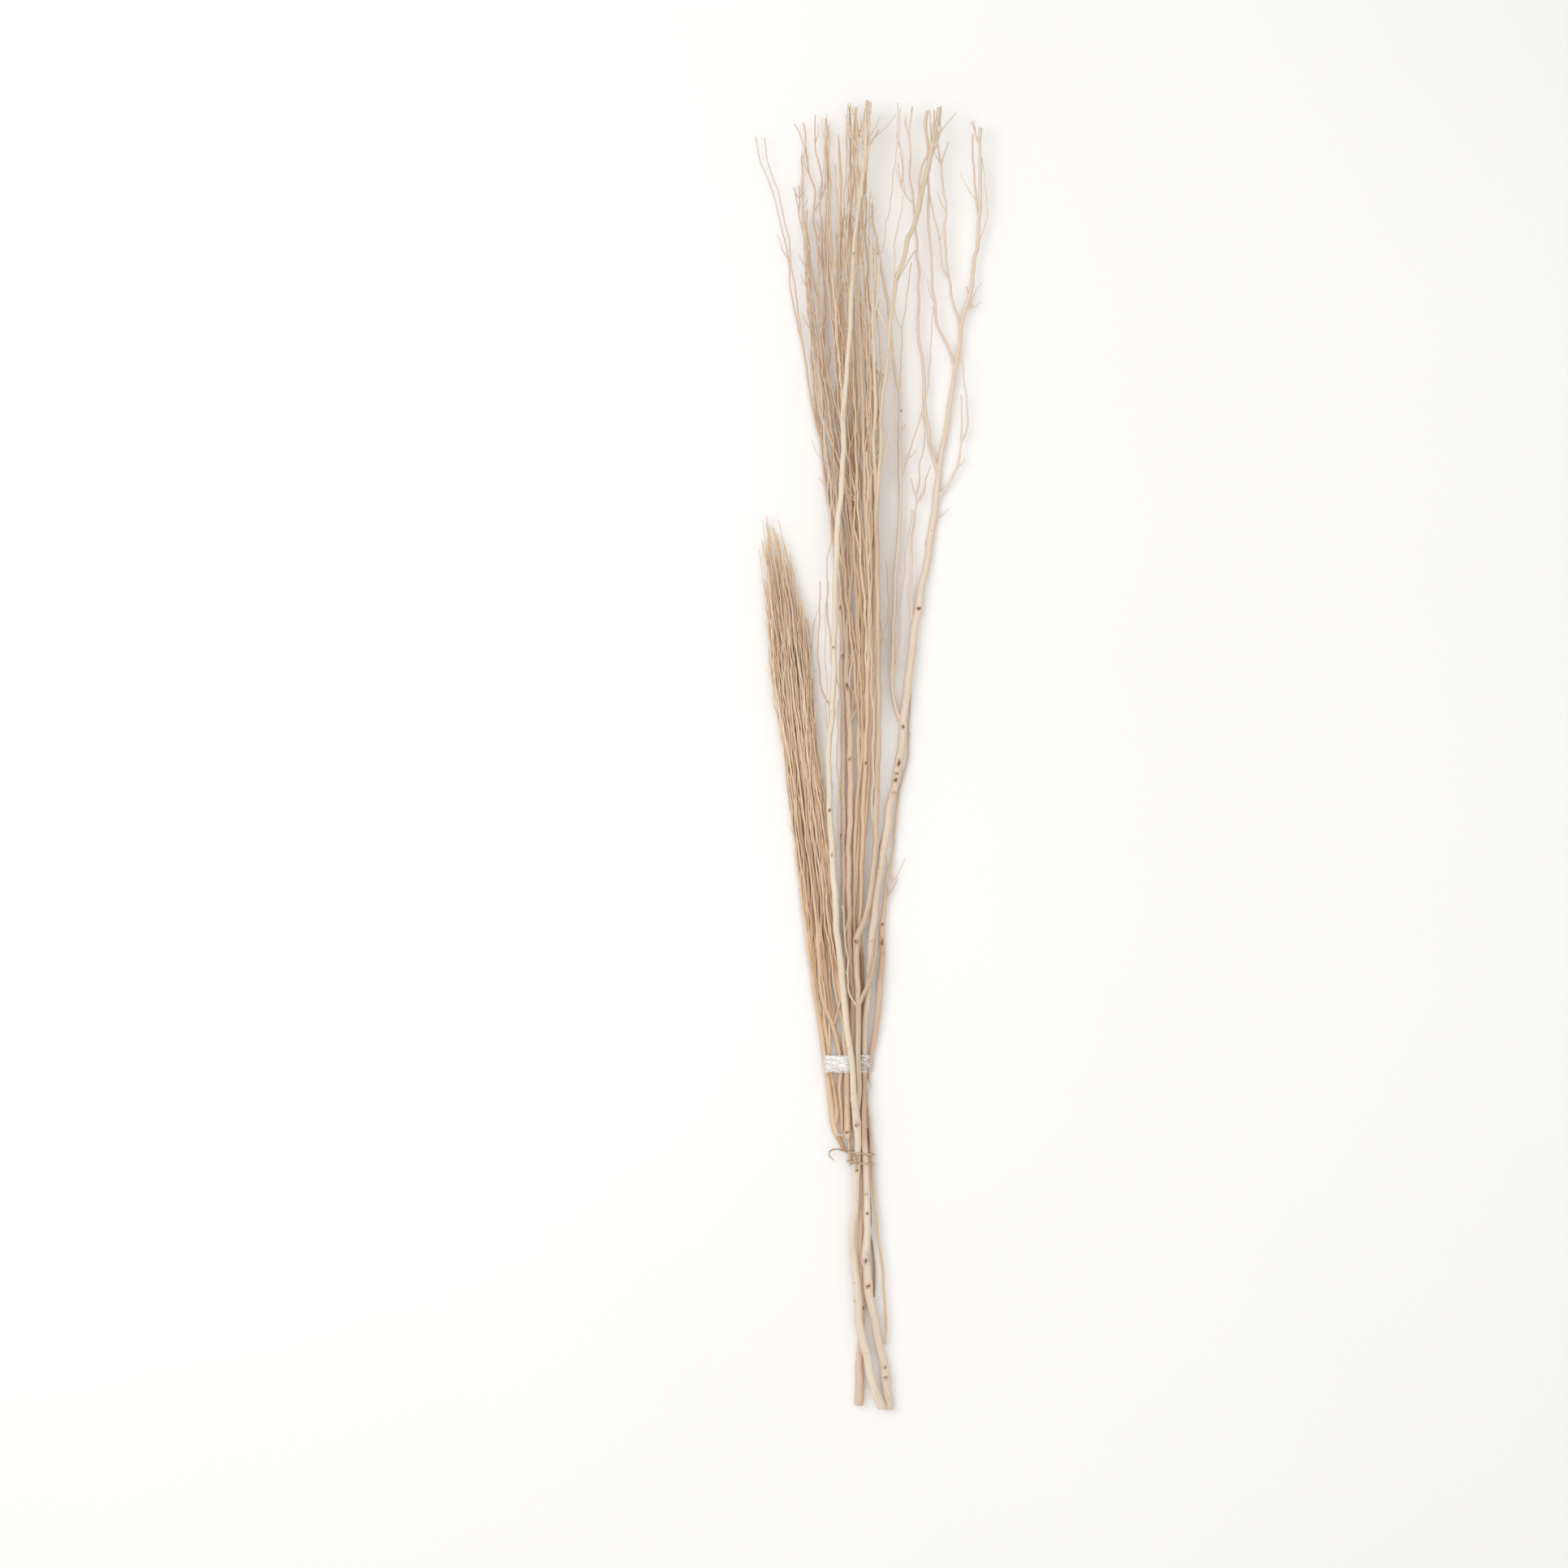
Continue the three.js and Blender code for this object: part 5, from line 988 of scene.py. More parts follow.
def wood_tree():
    """The geometry tree that every strand of wood and fibre is baked with."""
    group = bpy.data.node_groups.new("wood_strands", "GeometryNodeTree")
    group.interface.new_socket("Lines", in_out="INPUT", socket_type="NodeSocketGeometry")
    for name in BUILD_INPUTS:
        kind = "NodeSocketInt" if name == "Sides" else "NodeSocketFloat"
        group.interface.new_socket(name, in_out="INPUT", socket_type=kind)
    group.interface.new_socket("Finish", in_out="INPUT", socket_type="NodeSocketMaterial")
    group.interface.new_socket("Wood", in_out="OUTPUT", socket_type="NodeSocketGeometry")
    tree = Tree(group)
    given = tree.node("NodeGroupInput")

    def named(name, kind="FLOAT"):
        return tree.node("GeometryNodeInputNamedAttribute", {"data_type": kind}, {"Name": name})[0]

    def keep(geometry, name, value, kind="FLOAT"):
        settings = {"data_type": kind, "domain": "POINT"}
        values = {"Geometry": geometry, "Name": name, "Value": value}
        return tree.node("GeometryNodeStoreNamedAttribute", settings, values)[0]

    def chance_at(cell):
        return tree.node("ShaderNodeTexWhiteNoise", {"noise_dimensions": "1D"}, {"W": cell})[0]

    def vectors(operation, values, output=0):
        return tree.node("ShaderNodeVectorMath", {"operation": operation}, values)[output]

    lines = tree.node("GeometryNodeMeshToCurve", None, {0: given["Lines"]})[0]
    place = tree.node("GeometryNodeInputPosition")[0]
    lines = keep(lines, "centre", place, "FLOAT_VECTOR")
    circle = tree.node("GeometryNodeCurvePrimitiveCircle", None,
                       {"Resolution": given["Sides"], "Radius": 1.0})[0]
    circle = keep(circle, "around", place, "FLOAT_VECTOR")
    wood = tree.node("GeometryNodeCurveToMesh", None,
                     {0: lines, 1: circle, "Scale": named("girth"), "Fill Caps": True})[0]

    run, seed, core, mark = named("run"), named("seed"), named("core"), named("mark")
    around_x, around_y, _ = tree.parts(named("around", "FLOAT_VECTOR"))
    steps = run / given["Knot Spacing"] + seed
    cell = steps.floor()
    off_knot = (steps - cell - 0.5) * given["Knot Spacing"] / given["Knot Width"]
    turn = chance_at(cell * 1.7 + seed + 31.0) * (2 * math.pi)
    lobe = (around_x * turn.cosine() + around_y * turn.sine()).most(0.0)
    one_sided = lobe * lobe * (1 - KNOT_ALL_ROUND) + KNOT_ALL_ROUND
    scar = (-(off_knot * off_knot)).exp() * chance_at(cell + seed).ramp(KNOT_CHANCE, 1.0) * one_sided
    flute_at = tree.vector(around_x + seed, around_y + seed * 1.7, run * FLUTE_GRAIN)
    flute = tree.noise(flute_at, FLUTE_SCALE) - 0.5
    swell = 1.0 + core * (scar * given["Knot Height"] + flute * given["Flute Depth"])
    swell = swell + mark * core * MARK_SWELL
    centre = named("centre", "FLOAT_VECTOR")
    outward = vectors("SUBTRACT", {0: place, 1: centre})
    length = vectors("LENGTH", {0: outward}, "Value")
    facing_up = tree.parts(outward)[2] / (length + 0.00001)
    outward = vectors("SCALE", {0: outward, "Scale": swell})
    moved_x, moved_y, moved_z = tree.parts(vectors("ADD", {0: centre, 1: outward}))
    moved = tree.vector(moved_x, moved_y, moved_z.most(LOWEST))
    wood = keep(wood, "scar", scar * core)
    wood = keep(wood, "marked", mark * facing_up.ramp(*FACES_UP))
    wood = tree.node("GeometryNodeSetPosition", None, {0: wood, "Position": moved})[0]
    wood = tree.node("GeometryNodeSetShadeSmooth", None, {0: wood})[0]
    wood = tree.node("GeometryNodeRealizeInstances", None, {0: wood})[0]
    wood = tree.node("GeometryNodeSetMaterial", None, {0: wood, "Material": given["Finish"]})[0]
    tree.node("NodeGroupOutput", None, {0: wood})
    return group


WOOD = wood_tree()

# A cut end's rings, from the rim in: each one's share of the girth, and how far out it stands.
CUT_RINGS = ((0.93, 0.35), (0.7, 0.45), (0.4, 0.5), (0.06, 0.5))
CUT_DEPTH = 0.6


def end_heading(route, end, inner):
    """The direction in which a strand's end points."""
    heading = route[end, :3] - route[inner, :3]
    return heading / np.linalg.norm(heading)


def line_mesh(name, strands):
    """Strands as plain lines of points, each with its thickness, its run and its own shade."""
    places, edges = [], []
    values = {"girth": [], "run": [], "seed": [], "shade": [], "mark": [], "core": []}

    def add(place, girth, strand, index, core):
        places.append(place)
        numbers = (girth * MM, strand.run[index] * MM, strand.seed, strand.shade[index],
                   strand.mark[index], core)
        for column, number in zip(values.values(), numbers):
            column.append(number)

    def add_end(strand, end, inner, rings):
        route = strand.route
        heading = end_heading(route, end, inner)
        for share, out in rings:
            place = route[end, :3] + heading * out * CUT_DEPTH
            add(place, route[end, 3] * share, strand, end, share)

    for strand in strands:
        first = len(places)
        if strand.cut:
            add_end(strand, 0, 1, reversed(CUT_RINGS))
        for index, spot in enumerate(strand.route):
            add(spot[:3], spot[3], strand, index, 1.0)
        add_end(strand, -1, -2, CUT_RINGS if strand.cut else CUT_RINGS[1::2])
        edges += [(index, index + 1) for index in range(first, len(places) - 1)]
    mesh = bpy.data.meshes.new(name)
    spots = (np.array(places) - (MIDDLE_ACROSS, MIDDLE_ALONG, 0)) * MM
    mesh.from_pydata(spots.tolist(), edges, [])
    for key, numbers in values.items():
        mesh.attributes.new(key, "FLOAT", "POINT").data.foreach_set("value", numbers)
    return mesh


def bake(name, mesh, group, inputs):
    """Runs a geometry tree on a mesh and keeps its result as a plain mesh."""
    lines = bpy.data.objects.new(name + "_lines", mesh)
    bpy.context.scene.collection.objects.link(lines)
    modifier = lines.modifiers.new("grow", "NODES")
    modifier.node_group = group
    sockets = {item.name: item.identifier for item in group.interface.items_tree
               if item.in_out == "INPUT"}
    for key, value in inputs.items():
        modifier[sockets[key]] = value
    bpy.context.view_layer.update()
    seen = lines.evaluated_get(bpy.context.evaluated_depsgraph_get())
    baked = bpy.data.meshes.new_from_object(seen)
    lines.modifiers.remove(modifier)
    bpy.data.objects.remove(lines)
    return baked


def bake_wood(name, strands, build, finish):
    """Strands baked to one mesh. The build holds their sides, knots and flutes, as in BUILD_INPUTS."""
    inputs = dict(zip(BUILD_INPUTS, build))
    inputs["Finish"] = finish
    return bake(name, line_mesh(name, strands), WOOD, inputs)


def piece_of(name, meshes):
    """One object at the origin, made of one or more baked meshes."""
    made = []
    for mesh in meshes:
        part = bpy.data.objects.new(name, mesh)
        bpy.context.scene.collection.objects.link(part)
        made.append(part)
    if len(made) > 1:
        with bpy.context.temp_override(active_object=made[0], object=made[0],
                                       selected_objects=made, selected_editable_objects=made):
            bpy.ops.object.join()
    made[0].name = name
    made[0].data.name = name
    return made[0]


# The build of thick, medium and thin strands, with the radii that each grade runs between.
GRADES = (
    (THICK_FROM, math.inf, (14, 0.062, 0.0028, 0.34, 0.14)),
    (MEDIUM_FROM, THICK_FROM, (9, 0.044, 0.0024, 0.6, 0.16)),
    (0.0, MEDIUM_FROM, (6, 0.031, 0.0024, 0.9, 0.1)),
)


def wood_piece(name, strands, finish):
    """One branch as a single piece, with its strands built by their grade."""
    meshes = []
    for least, most, build in GRADES:
        chosen = [strand for strand in strands if least < strand.route[:, 3].max() <= most]
        if chosen:
            meshes.append(bake_wood(name, chosen, build, finish))
    return piece_of(name, meshes)


def new_finish(name):
    """A material with an empty tree but for its shader, and that shader's node."""
    finish = bpy.data.materials.new(name)
    finish.use_nodes = True
    finish.node_tree.nodes.clear()
    tree = Tree(finish.node_tree)
    shader = tree.nodes.new("ShaderNodeBsdfPrincipled")
    end = tree.nodes.new("ShaderNodeOutputMaterial")
    tree.links.new(shader.outputs[0], end.inputs[0])
    return finish, tree, shader


def dress(tree, shader, colour, roughness, relief):
    """Links a finish's colour, roughness and relief, which is a height, its strength and its depth."""
    height, strength, depth = relief
    values = {"Height": height, "Strength": strength, "Distance": depth}
    bump = tree.node("ShaderNodeBump", None, values)["Normal"]
    for name, wire in (("Base Color", colour), ("Roughness", roughness), ("Normal", bump)):
        tree.links.new(wire.socket, shader.inputs[name])


def own_number(tree, name):
    return tree.node("ShaderNodeAttribute", {"attribute_name": name})["Fac"]


def own_vector(tree, name):
    return tree.node("ShaderNodeAttribute", {"attribute_name": name})["Vector"]


def wood_finish(name, pale, middle, deep, scar_tint, rough):
    """Peeled wood: long streaks and fibres along the strand, dark checks, dots and scars, cut ends."""
    finish, tree, shader = new_finish(name)
    pale, middle, deep, scar_tint = (paint(code) for code in (pale, middle, deep, scar_tint))
    around_x, around_y, _ = tree.parts(own_vector(tree, "around"))
    run, seed, shade = (own_number(tree, key) for key in ("run", "seed", "shade"))
    scar, core, marked = (own_number(tree, key) for key in ("scar", "core", "marked"))

    def along_grain(width, length, shift):
        return tree.vector(around_x * width + seed + shift, around_y * width + seed * 1.3,
                           run * length + shift)

    def grain(width, length, shift, detail, roughness=0.5):
        return tree.noise(along_grain(width, length, shift), 1.0, detail, roughness)

    broad = grain(0.9, 9.0, 0.0, 3.0)
    streak = grain(2.6, 16.0, 5.0, 4.0, 0.6)
    fibre = grain(9.0, 60.0, 11.0, 3.0, 0.6)
    patch = grain(0.5, 24.0, 23.0, 2.0)
    blotch = grain(1.6, 170.0, 31.0, 3.0, 0.6)
    # The shade attribute holds each strand's own tone, and on some stretches painted shade as well.
    tone = shade * 0.85 + (broad - 0.5) * 1.0 + (streak - 0.5) * 0.8
    check = (1.0 - (streak - 0.5).size().ramp(0.0, 0.012)) * patch.ramp(0.52, 0.66)
    dots = tree.node("ShaderNodeTexVoronoi", None,
                     {"Vector": along_grain(1.1, 190.0, 3.0), "Scale": 1.0})
    dot_chance, _, _ = tree.parts(dots["Color"])
    dot = (1.0 - dots["Distance"].ramp(0.08, 0.2)) * dot_chance.ramp(0.86, 0.9)
    torn = marked * (0.8 + (blotch - 0.5) * 2.4 + (fibre - 0.5) * 0.5)
    coats = (
        (tone.ramp(0.55, 1.2) * 0.8, deep),
        ((fibre - 0.5).size().ramp(0.02, 0.22) * 0.22, deep),
        (check * 0.75, scar_tint),
        (dot * 0.8, scar_tint),
        (scar.ramp(0.15, 0.5) * 0.3, deep),
        (scar.ramp(0.5, 0.85) * 0.5, scar_tint),
        (torn.ramp(0.12, 0.45) * 0.45, deep),
        (torn.ramp(0.42, 0.72) * 0.92, scar_tint),
    )
    colour = tree.blend(tone.ramp(-0.25, 0.55), pale, middle)
    for amount, tint in coats:
        colour = tree.blend(amount, colour, tint)
    rings = (core * 38.0).sine() * 0.5 + 0.5
    cut_colour = tree.blend(rings * 0.5, pale, middle)
    cut_colour = tree.blend(1.0 - core.ramp(0.08, 0.3), cut_colour, scar_tint)
    colour = tree.blend(1.0 - core.ramp(0.9, 0.97), colour, cut_colour)
    roughness = rough + (fibre - 0.5) * 0.25 + scar * 0.15
    height = fibre * 0.35 + streak * 0.5 - check * 0.8 - dot * 0.4
    dress(tree, shader, colour, roughness, (height, 0.35, 0.0006))
    shader.inputs["Specular IOR Level"].default_value = 0.3
    return finish


FRONT_WOOD = wood_finish("cream_peeled_wood", "E8DBC8", "DBC8B0", "BC9E84", "794D3A", 0.55)
PINK_WOOD = wood_finish("pinkish_peeled_wood", "EADACA", "DECAB5", "BD9D84", "6E4A33", 0.58)
TAN_WOOD = wood_finish("tan_peeled_wood", "E9D7C4", "D8BDA5", "AF8A72", "6C4432", 0.6)
BROWN_WOOD = wood_finish("brown_peeled_wood", "EAD7BD", "D8BC9B", "A98467", "633F2E", 0.6)
SHEAF_WOOD = wood_finish("sheaf_twig_wood", "F3E1CA", "E2C6A6", "BB9170", "6A4331", 0.62)
DARK_WOOD = wood_finish("dark_twig_wood", "BFA58C", "A08068", "745443", "472E24", 0.66)
BRANCH_FINISH = {
    "front_branch": (FRONT_WOOD, "pale_wood"),
    "knotty_branch": (PINK_WOOD, "pink_wood"),
    "left_cut_branch": (TAN_WOOD, "tan_wood"),
    "left_fan_branch": (TAN_WOOD, "tan_wood"),
    "middle_branch": (BROWN_WOOD, "brown_wood"),
    "thin_right_branch": (BROWN_WOOD, "brown_wood"),
    "right_side_branch": (TAN_WOOD, "tan_wood"),
    "thin_low_twig": (DARK_WOOD, "brown_wood"),
    "sheaf_left_spray": (SHEAF_WOOD, "sheaf_wood"),
    "sheaf_middle_spray": (SHEAF_WOOD, "sheaf_wood"),
    "sheaf_right_spray": (SHEAF_WOOD, "sheaf_wood"),
}

grown_branches = {}
for number, branch in enumerate(BRANCHES):
    grown_branches[branch["name"]] = grow_branch(number, branch)
for name, strands in grown_branches.items():
    finish, slot = BRANCH_FINISH[name]
    piece = wood_piece(name + "_wood", strands, finish)
    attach(piece, "root")
    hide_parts(name)


# How much wider than its strand a solid's section is, by the thickest radius of the strand.
FULLNESS = ((1.9, 1.0), (1.35, 1.08), (0.0, 1.2))
BAND_STATIONS = 5
BAND_SIDES = 12


def stem_points(name, index=0):
    """One strand's plain points, as the solids are made from them."""
    branch = next(branch for branch in BRANCHES if branch["name"] == name)
    coarse = []
    for strand in branch["strands"][:index + 1]:
        coarse.append(settle_strand(strand, coarse))
    return coarse[index]


def hull_outline(places):
    """The outline round a set of [across, height] places, with no hollow in it."""
    def half(list_of_places):
        chain = []
        for place in list_of_places:
            while len(chain) > 1:
                (ax, ay), (bx, by) = chain[-2], chain[-1]
                if (bx - ax) * (place[1] - ay) - (by - ay) * (place[0] - ax) > 0:
                    break
                chain.pop()
            chain.append(place)
        return chain[:-1]

    ordered = sorted(places)
    return half(ordered) + half(ordered[::-1])


def fullness_of(points):
    """How much wider a solid's section is than the strand it stands for; thin ones have few sides."""
    thickest = points[:, 3].max()
    return next(fullness for least, fullness in FULLNESS if thickest > least)


def band_outline(strands, low, high, clearance):
    """What a band round the stems has to clear between two distances along the bunch."""
    places = []
    for strand in strands:
        points = strand if strand[0, 1] < strand[-1, 1] else strand[::-1]
        for along in np.linspace(low, high, BAND_STATIONS):
            if not points[0, 1] <= along <= points[-1, 1]:
                continue
            spot = [np.interp(along, points[:, 1], points[:, column]) for column in (0, 2, 3)]
            reach = spot[2] * fullness_of(points) + clearance
            for angle in np.linspace(0, 2 * math.pi, BAND_SIDES, endpoint=False):
                places.append((spot[0] + reach * math.cos(angle), spot[1] + reach * math.sin(angle)))
    return hull_outline(places)


def even_outline(outline, count):
    """Places spread evenly round a closed outline."""
    closed = np.array(outline + outline[:1])
    at = np.concatenate([[0], np.cumsum(np.linalg.norm(np.diff(closed, axis=0), axis=1))])
    wanted = np.linspace(0, at[-1], count, endpoint=False)
    return np.column_stack([np.interp(wanted, at, closed[:, column]) for column in (0, 1)])


# Clear tape, wound twice and drawn in a little between the stems: here one thin film round their
# outline, with no hollow in it, and full of small creases.
TAPED = ("sheaf_left_spray", "sheaf_middle_spray", "sheaf_right_spray", "left_fan_branch",
         "left_cut_branch", "middle_branch", "thin_right_branch", "knotty_branch", "right_side_branch")
TAPE_AROUND = 260
TAPE_ACROSS = 26
TAPE_SEED = 61
FILM = 0.12
# How far the film stands off its inner outline, and what its ripples and its edges add to that.
FILM_OFF = 0.36
FILM_RIPPLE = 0.18
FILM_EDGE = 0.1
FILM_EDGE_WAVE = 0.25
FILM_EDGE_WAVES = 9
EDGE_POWER = 6
FILM_LOWEST = 0.1
RIPPLES = 16
RIPPLE_COUNTS = (5, 60)
RIPPLE_SLOPES = (-2.5, 2.5)
RIPPLE_SHARE = 5
CRUMPLED_TO = -0.031
# The film fades out where it lies flat on the stems: past these places, as x and y in metres.
TAPE_LEFT = -0.0595
TAPE_RIGHT = 0.0015
TAPE_LOW = (TAPE_FROM - MIDDLE_ALONG) * MM
TAPE_HIGH = TAPE_LOW + TAPE_WIDTH * MM
FADED_TAPE = 0.12


def tape_finish():
    """Clear film: crisp creases, a crumpled left part, and edges that fade out on the stems."""
    finish, tree, shader = new_finish("clear_creased_tape")
    x, y, z = tree.parts(tree.node("ShaderNodeTexCoord")["Object"])
    waves = tree.noise(tree.vector(x * 60.0, y * 420.0 + x * 40.0, z * 60.0), 1.0, 3.0, 0.6)
    fine = tree.noise(tree.vector(x * 240.0, y * 900.0, z * 240.0), 1.0, 3.0, 0.6)
    cloud = tree.noise(tree.vector(x * 90.0, y * 160.0, z * 90.0), 1.0, 2.0).ramp(0.5, 0.75)
    crease = 1.0 - (waves - 0.5).size().ramp(0.0, 0.085)
    crumpled = 1.0 - x.ramp(CRUMPLED_TO, CRUMPLED_TO + 0.014)
    lower = 1.0 - y.ramp(TAPE_LOW + 0.001, TAPE_LOW + 0.008)
    ragged = (waves - 0.5) * 0.012 + (cloud - 0.4) * 0.003
    right_edge = x + ragged + (TAPE_HIGH - y) * 0.3
    inside = (y - TAPE_LOW).least(TAPE_HIGH - y) + ragged * 0.5
    shown = (x + ragged).ramp(TAPE_LEFT, TAPE_LEFT + 0.005)
    shown = shown * (1.0 - right_edge.ramp(TAPE_RIGHT - 0.002, TAPE_RIGHT + 0.001))
    shown = shown * inside.ramp(-0.0004, 0.0008)
    alpha = 0.2 + crumpled * 0.3 + crease * 0.5 + cloud * 0.25 + (fine - 0.5) * 0.4 - lower * 0.22
    alpha = alpha.least(1.0) * (FADED_TAPE + shown * (1.0 - FADED_TAPE))
    tree.links.new(alpha.socket, shader.inputs["Alpha"])
    colour = tree.blend(crease.most(crumpled * 0.7), paint("D8D3CB"), paint("FCFBF9"))
    roughness = 0.12 + crease * 0.25 + cloud * 0.1
    dress(tree, shader, colour, roughness, (waves * 0.6 + fine * 0.4, 0.6, 0.0008))
    return finish


def film_place(spot, middle, turn, share, depth, ripples):
    """One place of the film: its turn goes round the stems, and its share goes across the tape."""
    wave = sum(weight * math.sin(count * turn + phase + slope * 2 * math.pi * share)
               for count, slope, phase, weight in ripples) / RIPPLE_SHARE
    edge = abs(2 * share - 1) ** EDGE_POWER
    outward = (spot - middle) / np.linalg.norm(spot - middle)
    across, height = spot + outward * (depth + FILM_OFF + FILM_RIPPLE * wave + FILM_EDGE * edge)
    wavy = FILM_EDGE_WAVE * edge * math.sin(FILM_EDGE_WAVES * turn + 3 * wave)
    along = TAPE_FROM + TAPE_WIDTH * share + wavy
    return ((across - MIDDLE_ACROSS) * MM, (along - MIDDLE_ALONG) * MM, max(height, FILM_LOWEST) * MM)


def tape_faces():
    """The film's faces: an inner and an outer wall, joined along both edges of the tape."""
    def corner(layer, row, column):
        return (layer * (TAPE_ACROSS + 1) + row) * TAPE_AROUND + column % TAPE_AROUND

    faces = []
    for column in range(TAPE_AROUND):
        for row in range(TAPE_ACROSS):
            for layer in (0, 1):
                face = [corner(layer, row, column), corner(layer, row, column + 1),
                        corner(layer, row + 1, column + 1), corner(layer, row + 1, column)]
                faces.append(face if layer == 0 else face[::-1])
        faces.append([corner(0, 0, column + 1), corner(0, 0, column),
                      corner(1, 0, column), corner(1, 0, column + 1)])
        faces.append([corner(0, TAPE_ACROSS, column), corner(0, TAPE_ACROSS, column + 1),
                      corner(1, TAPE_ACROSS, column + 1), corner(1, TAPE_ACROSS, column)])
    return faces


def tape_piece():
    """The film round all the stems that begin above the tie, or are held there."""
    strands = [stem_points(name) for name in TAPED]
    inner = even_outline(band_outline(strands, TAPE_FROM, TAPE_FROM + TAPE_WIDTH, GAP), TAPE_AROUND)
    middle = inner.mean(axis=0)
    draw = stream(TAPE_SEED)
    ripples = [(whole(between(RIPPLE_COUNTS, draw())), between(RIPPLE_SLOPES, draw()),
                2 * math.pi * draw(), draw()) for _ in range(RIPPLES)]
    places = []
    for depth in (0.0, FILM):
        for row in range(TAPE_ACROSS + 1):
            for column, spot in enumerate(inner):
                turn = 2 * math.pi * column / TAPE_AROUND
                places.append(film_place(spot, middle, turn, row / TAPE_ACROSS, depth, ripples))
    mesh = bpy.data.meshes.new("creased_tape")
    mesh.from_pydata(places, [], tape_faces())
    mesh.shade_smooth()
    mesh.materials.append(tape_finish())
    return piece_of("creased_tape", [mesh])


tape = tape_piece()
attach(tape, "root")
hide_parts("tape_band")

# Bark tie: fibres twisted round each other along the two turns, the crossing knot and the tail.
FIBRES = 7
FIBRE_TWIST = 17.0
FIBRE_RADIUS = 0.52
# How each fibre differs: its start, its twist, how deep it lies, and how it swells along its run.
PHASE_CHANCE = 0.4
TWIST_RANGE = (0.85, 1.15)
DEPTH_RANGE = (0.45, 1.0)
FIBRE_FLAT = 0.6
FIBRE_SWELL = 0.22
SWELL_LENGTH = 4.1
THIN_END = 0.25
STRIP_STEP = 1.1
STRIP_OVERLAP = 2.0
TIE_BUILD = (7, 0.02, 0.003, 0.15, 0.5)
TIED = ("front_branch", "knotty_branch", "left_cut_branch", "thin_right_branch", "thin_low_twig")
SPRAY_ENDS = (1, 2, 3)
# How far past its turns the stretch runs that the tie has to clear, and where its slope starts.
TIE_BELOW = 5
TIE_ABOVE = 4
TIE_POINTS = 26
TIE_CLEARANCE = 1.5 * GAP
SLOPE_FROM = 10
# The two turns, as [along, slope, seed], and the strands of the knot, as [across, along, rise].
TIE_TURNS = ((TIE_UPPER, -0.13, 81), (TIE_LOWER, -0.1, 82))
TIE_KNOT = (
    ((50, 322, -3), (53, 317, 0.9), (57, 311, 1.1), (60, 307, -1)),
    ((49, 309, -3.2), (52.5, 311, 1.3), (56, 316, 2.1), (60, 321, -1.2)),
    ((55, 312, 1.5), (54.4, 307, 2), (54, 302, 1.2)),
)
KNOT_SEED = 83
# The curled tail, from the left side of the upper turn on, as [across, along, height].
TIE_TAIL = ((36, 324.5, 15), (30, 325.5, 14.5), (24.5, 324, 13.5), (21.5, 320.5, 12.5),
            (22.5, 316, 12), (27, 311.5, 12))
TAIL_SEED = 90
TAIL_EASE = 26.0


def tie_finish(name, pale, middle, deep):
    """Twisted bark fibre: streaks and shreds along every fibre."""
    finish, tree, shader = new_finish(name)
    around_x, around_y, _ = tree.parts(own_vector(tree, "around"))
    run, seed, shade = (own_number(tree, key) for key in ("run", "seed", "shade"))
    grain = tree.vector(around_x * 2.0 + seed, around_y * 2.0 + seed * 1.3, run * 60.0)
    streak = tree.noise(grain, 1.0, 4.0, 0.6)
    shred = tree.noise(tree.vector(around_x * 7.0 + seed, around_y * 7.0, run * 160.0), 1.0, 3.0)
    tone = shade * 0.8 + (streak - 0.5) * 1.4
    colour = tree.blend(tone.ramp(-0.2, 0.6), paint(pale), paint(middle))
    colour = tree.blend(tone.ramp(0.5, 1.2), colour, paint(deep))
    colour = tree.blend((shred - 0.5).size().ramp(0.03, 0.2) * 0.4, colour, paint(deep))
    dress(tree, shader, colour, 0.62 + (shred - 0.5) * 0.3, (shred, 0.5, 0.0004))
    shader.inputs["Specular IOR Level"].default_value = 0.35
    return finish


def strip_route(points, closed):
    """A strip's middle line with a point every step, and how far along it each point lies."""
    line = np.column_stack([np.array(points, float), np.ones(len(points))])
    if not closed:
        return smooth_route(line, STRIP_STEP)
    line = np.vstack([line, line[:3]])
    route, at = smooth_route(line, STRIP_STEP)
    spans = np.linalg.norm(np.diff(line[:, :3], axis=0), axis=1)
    chosen = (at >= spans[0]) & (at <= spans[:-1].sum() + STRIP_OVERLAP)
    return route[chosen], at[chosen] - spans[0]


def twisted_strip(points, closed, seed, fibres=FIBRES, width=STRIP_WIDTH, thickness=STRIP_THICKNESS,
                  fibre_radius=FIBRE_RADIUS, ease=0.0):
    """Fibres that wind round each other along one strip's middle line."""
    route, at = strip_route(points, closed)
    tangent = np.gradient(route[:, :3], axis=0)
    tangent /= np.linalg.norm(tangent, axis=1)[:, None]
    side = np.cross(tangent, (0.0, 1.0, 0.0))
    side /= np.maximum(np.linalg.norm(side, axis=1), 1e-6)[:, None]
    broad = np.cross(side, tangent)
    draw = stream(seed)
    strands = []
    for index in range(fibres):
        phase = 2 * math.pi * (index + PHASE_CHANCE * draw()) / fibres
        twist = FIBRE_TWIST * between(TWIST_RANGE, draw())
        turn = phase + 2 * math.pi * at / twist
        depth = between(DEPTH_RANGE, draw())
        spread = (width / 2 - fibre_radius) * depth
        rise = (thickness / 2 - fibre_radius * FIBRE_FLAT) * depth
        places = (route[:, :3] + broad * (np.cos(turn) * spread)[:, None]
                  + side * (np.sin(turn) * rise)[:, None])
        radii = fibre_radius * (1 + FIBRE_SWELL * np.sin(at / SWELL_LENGTH + 6 * draw()))
        if ease:
            radii *= np.clip((at[-1] - at) / ease, THIN_END, 1)
        route_here = np.column_stack([places, radii])
        strands.append(Strand(route_here, 100 * draw(), np.full(len(route), draw()), False))
    return strands


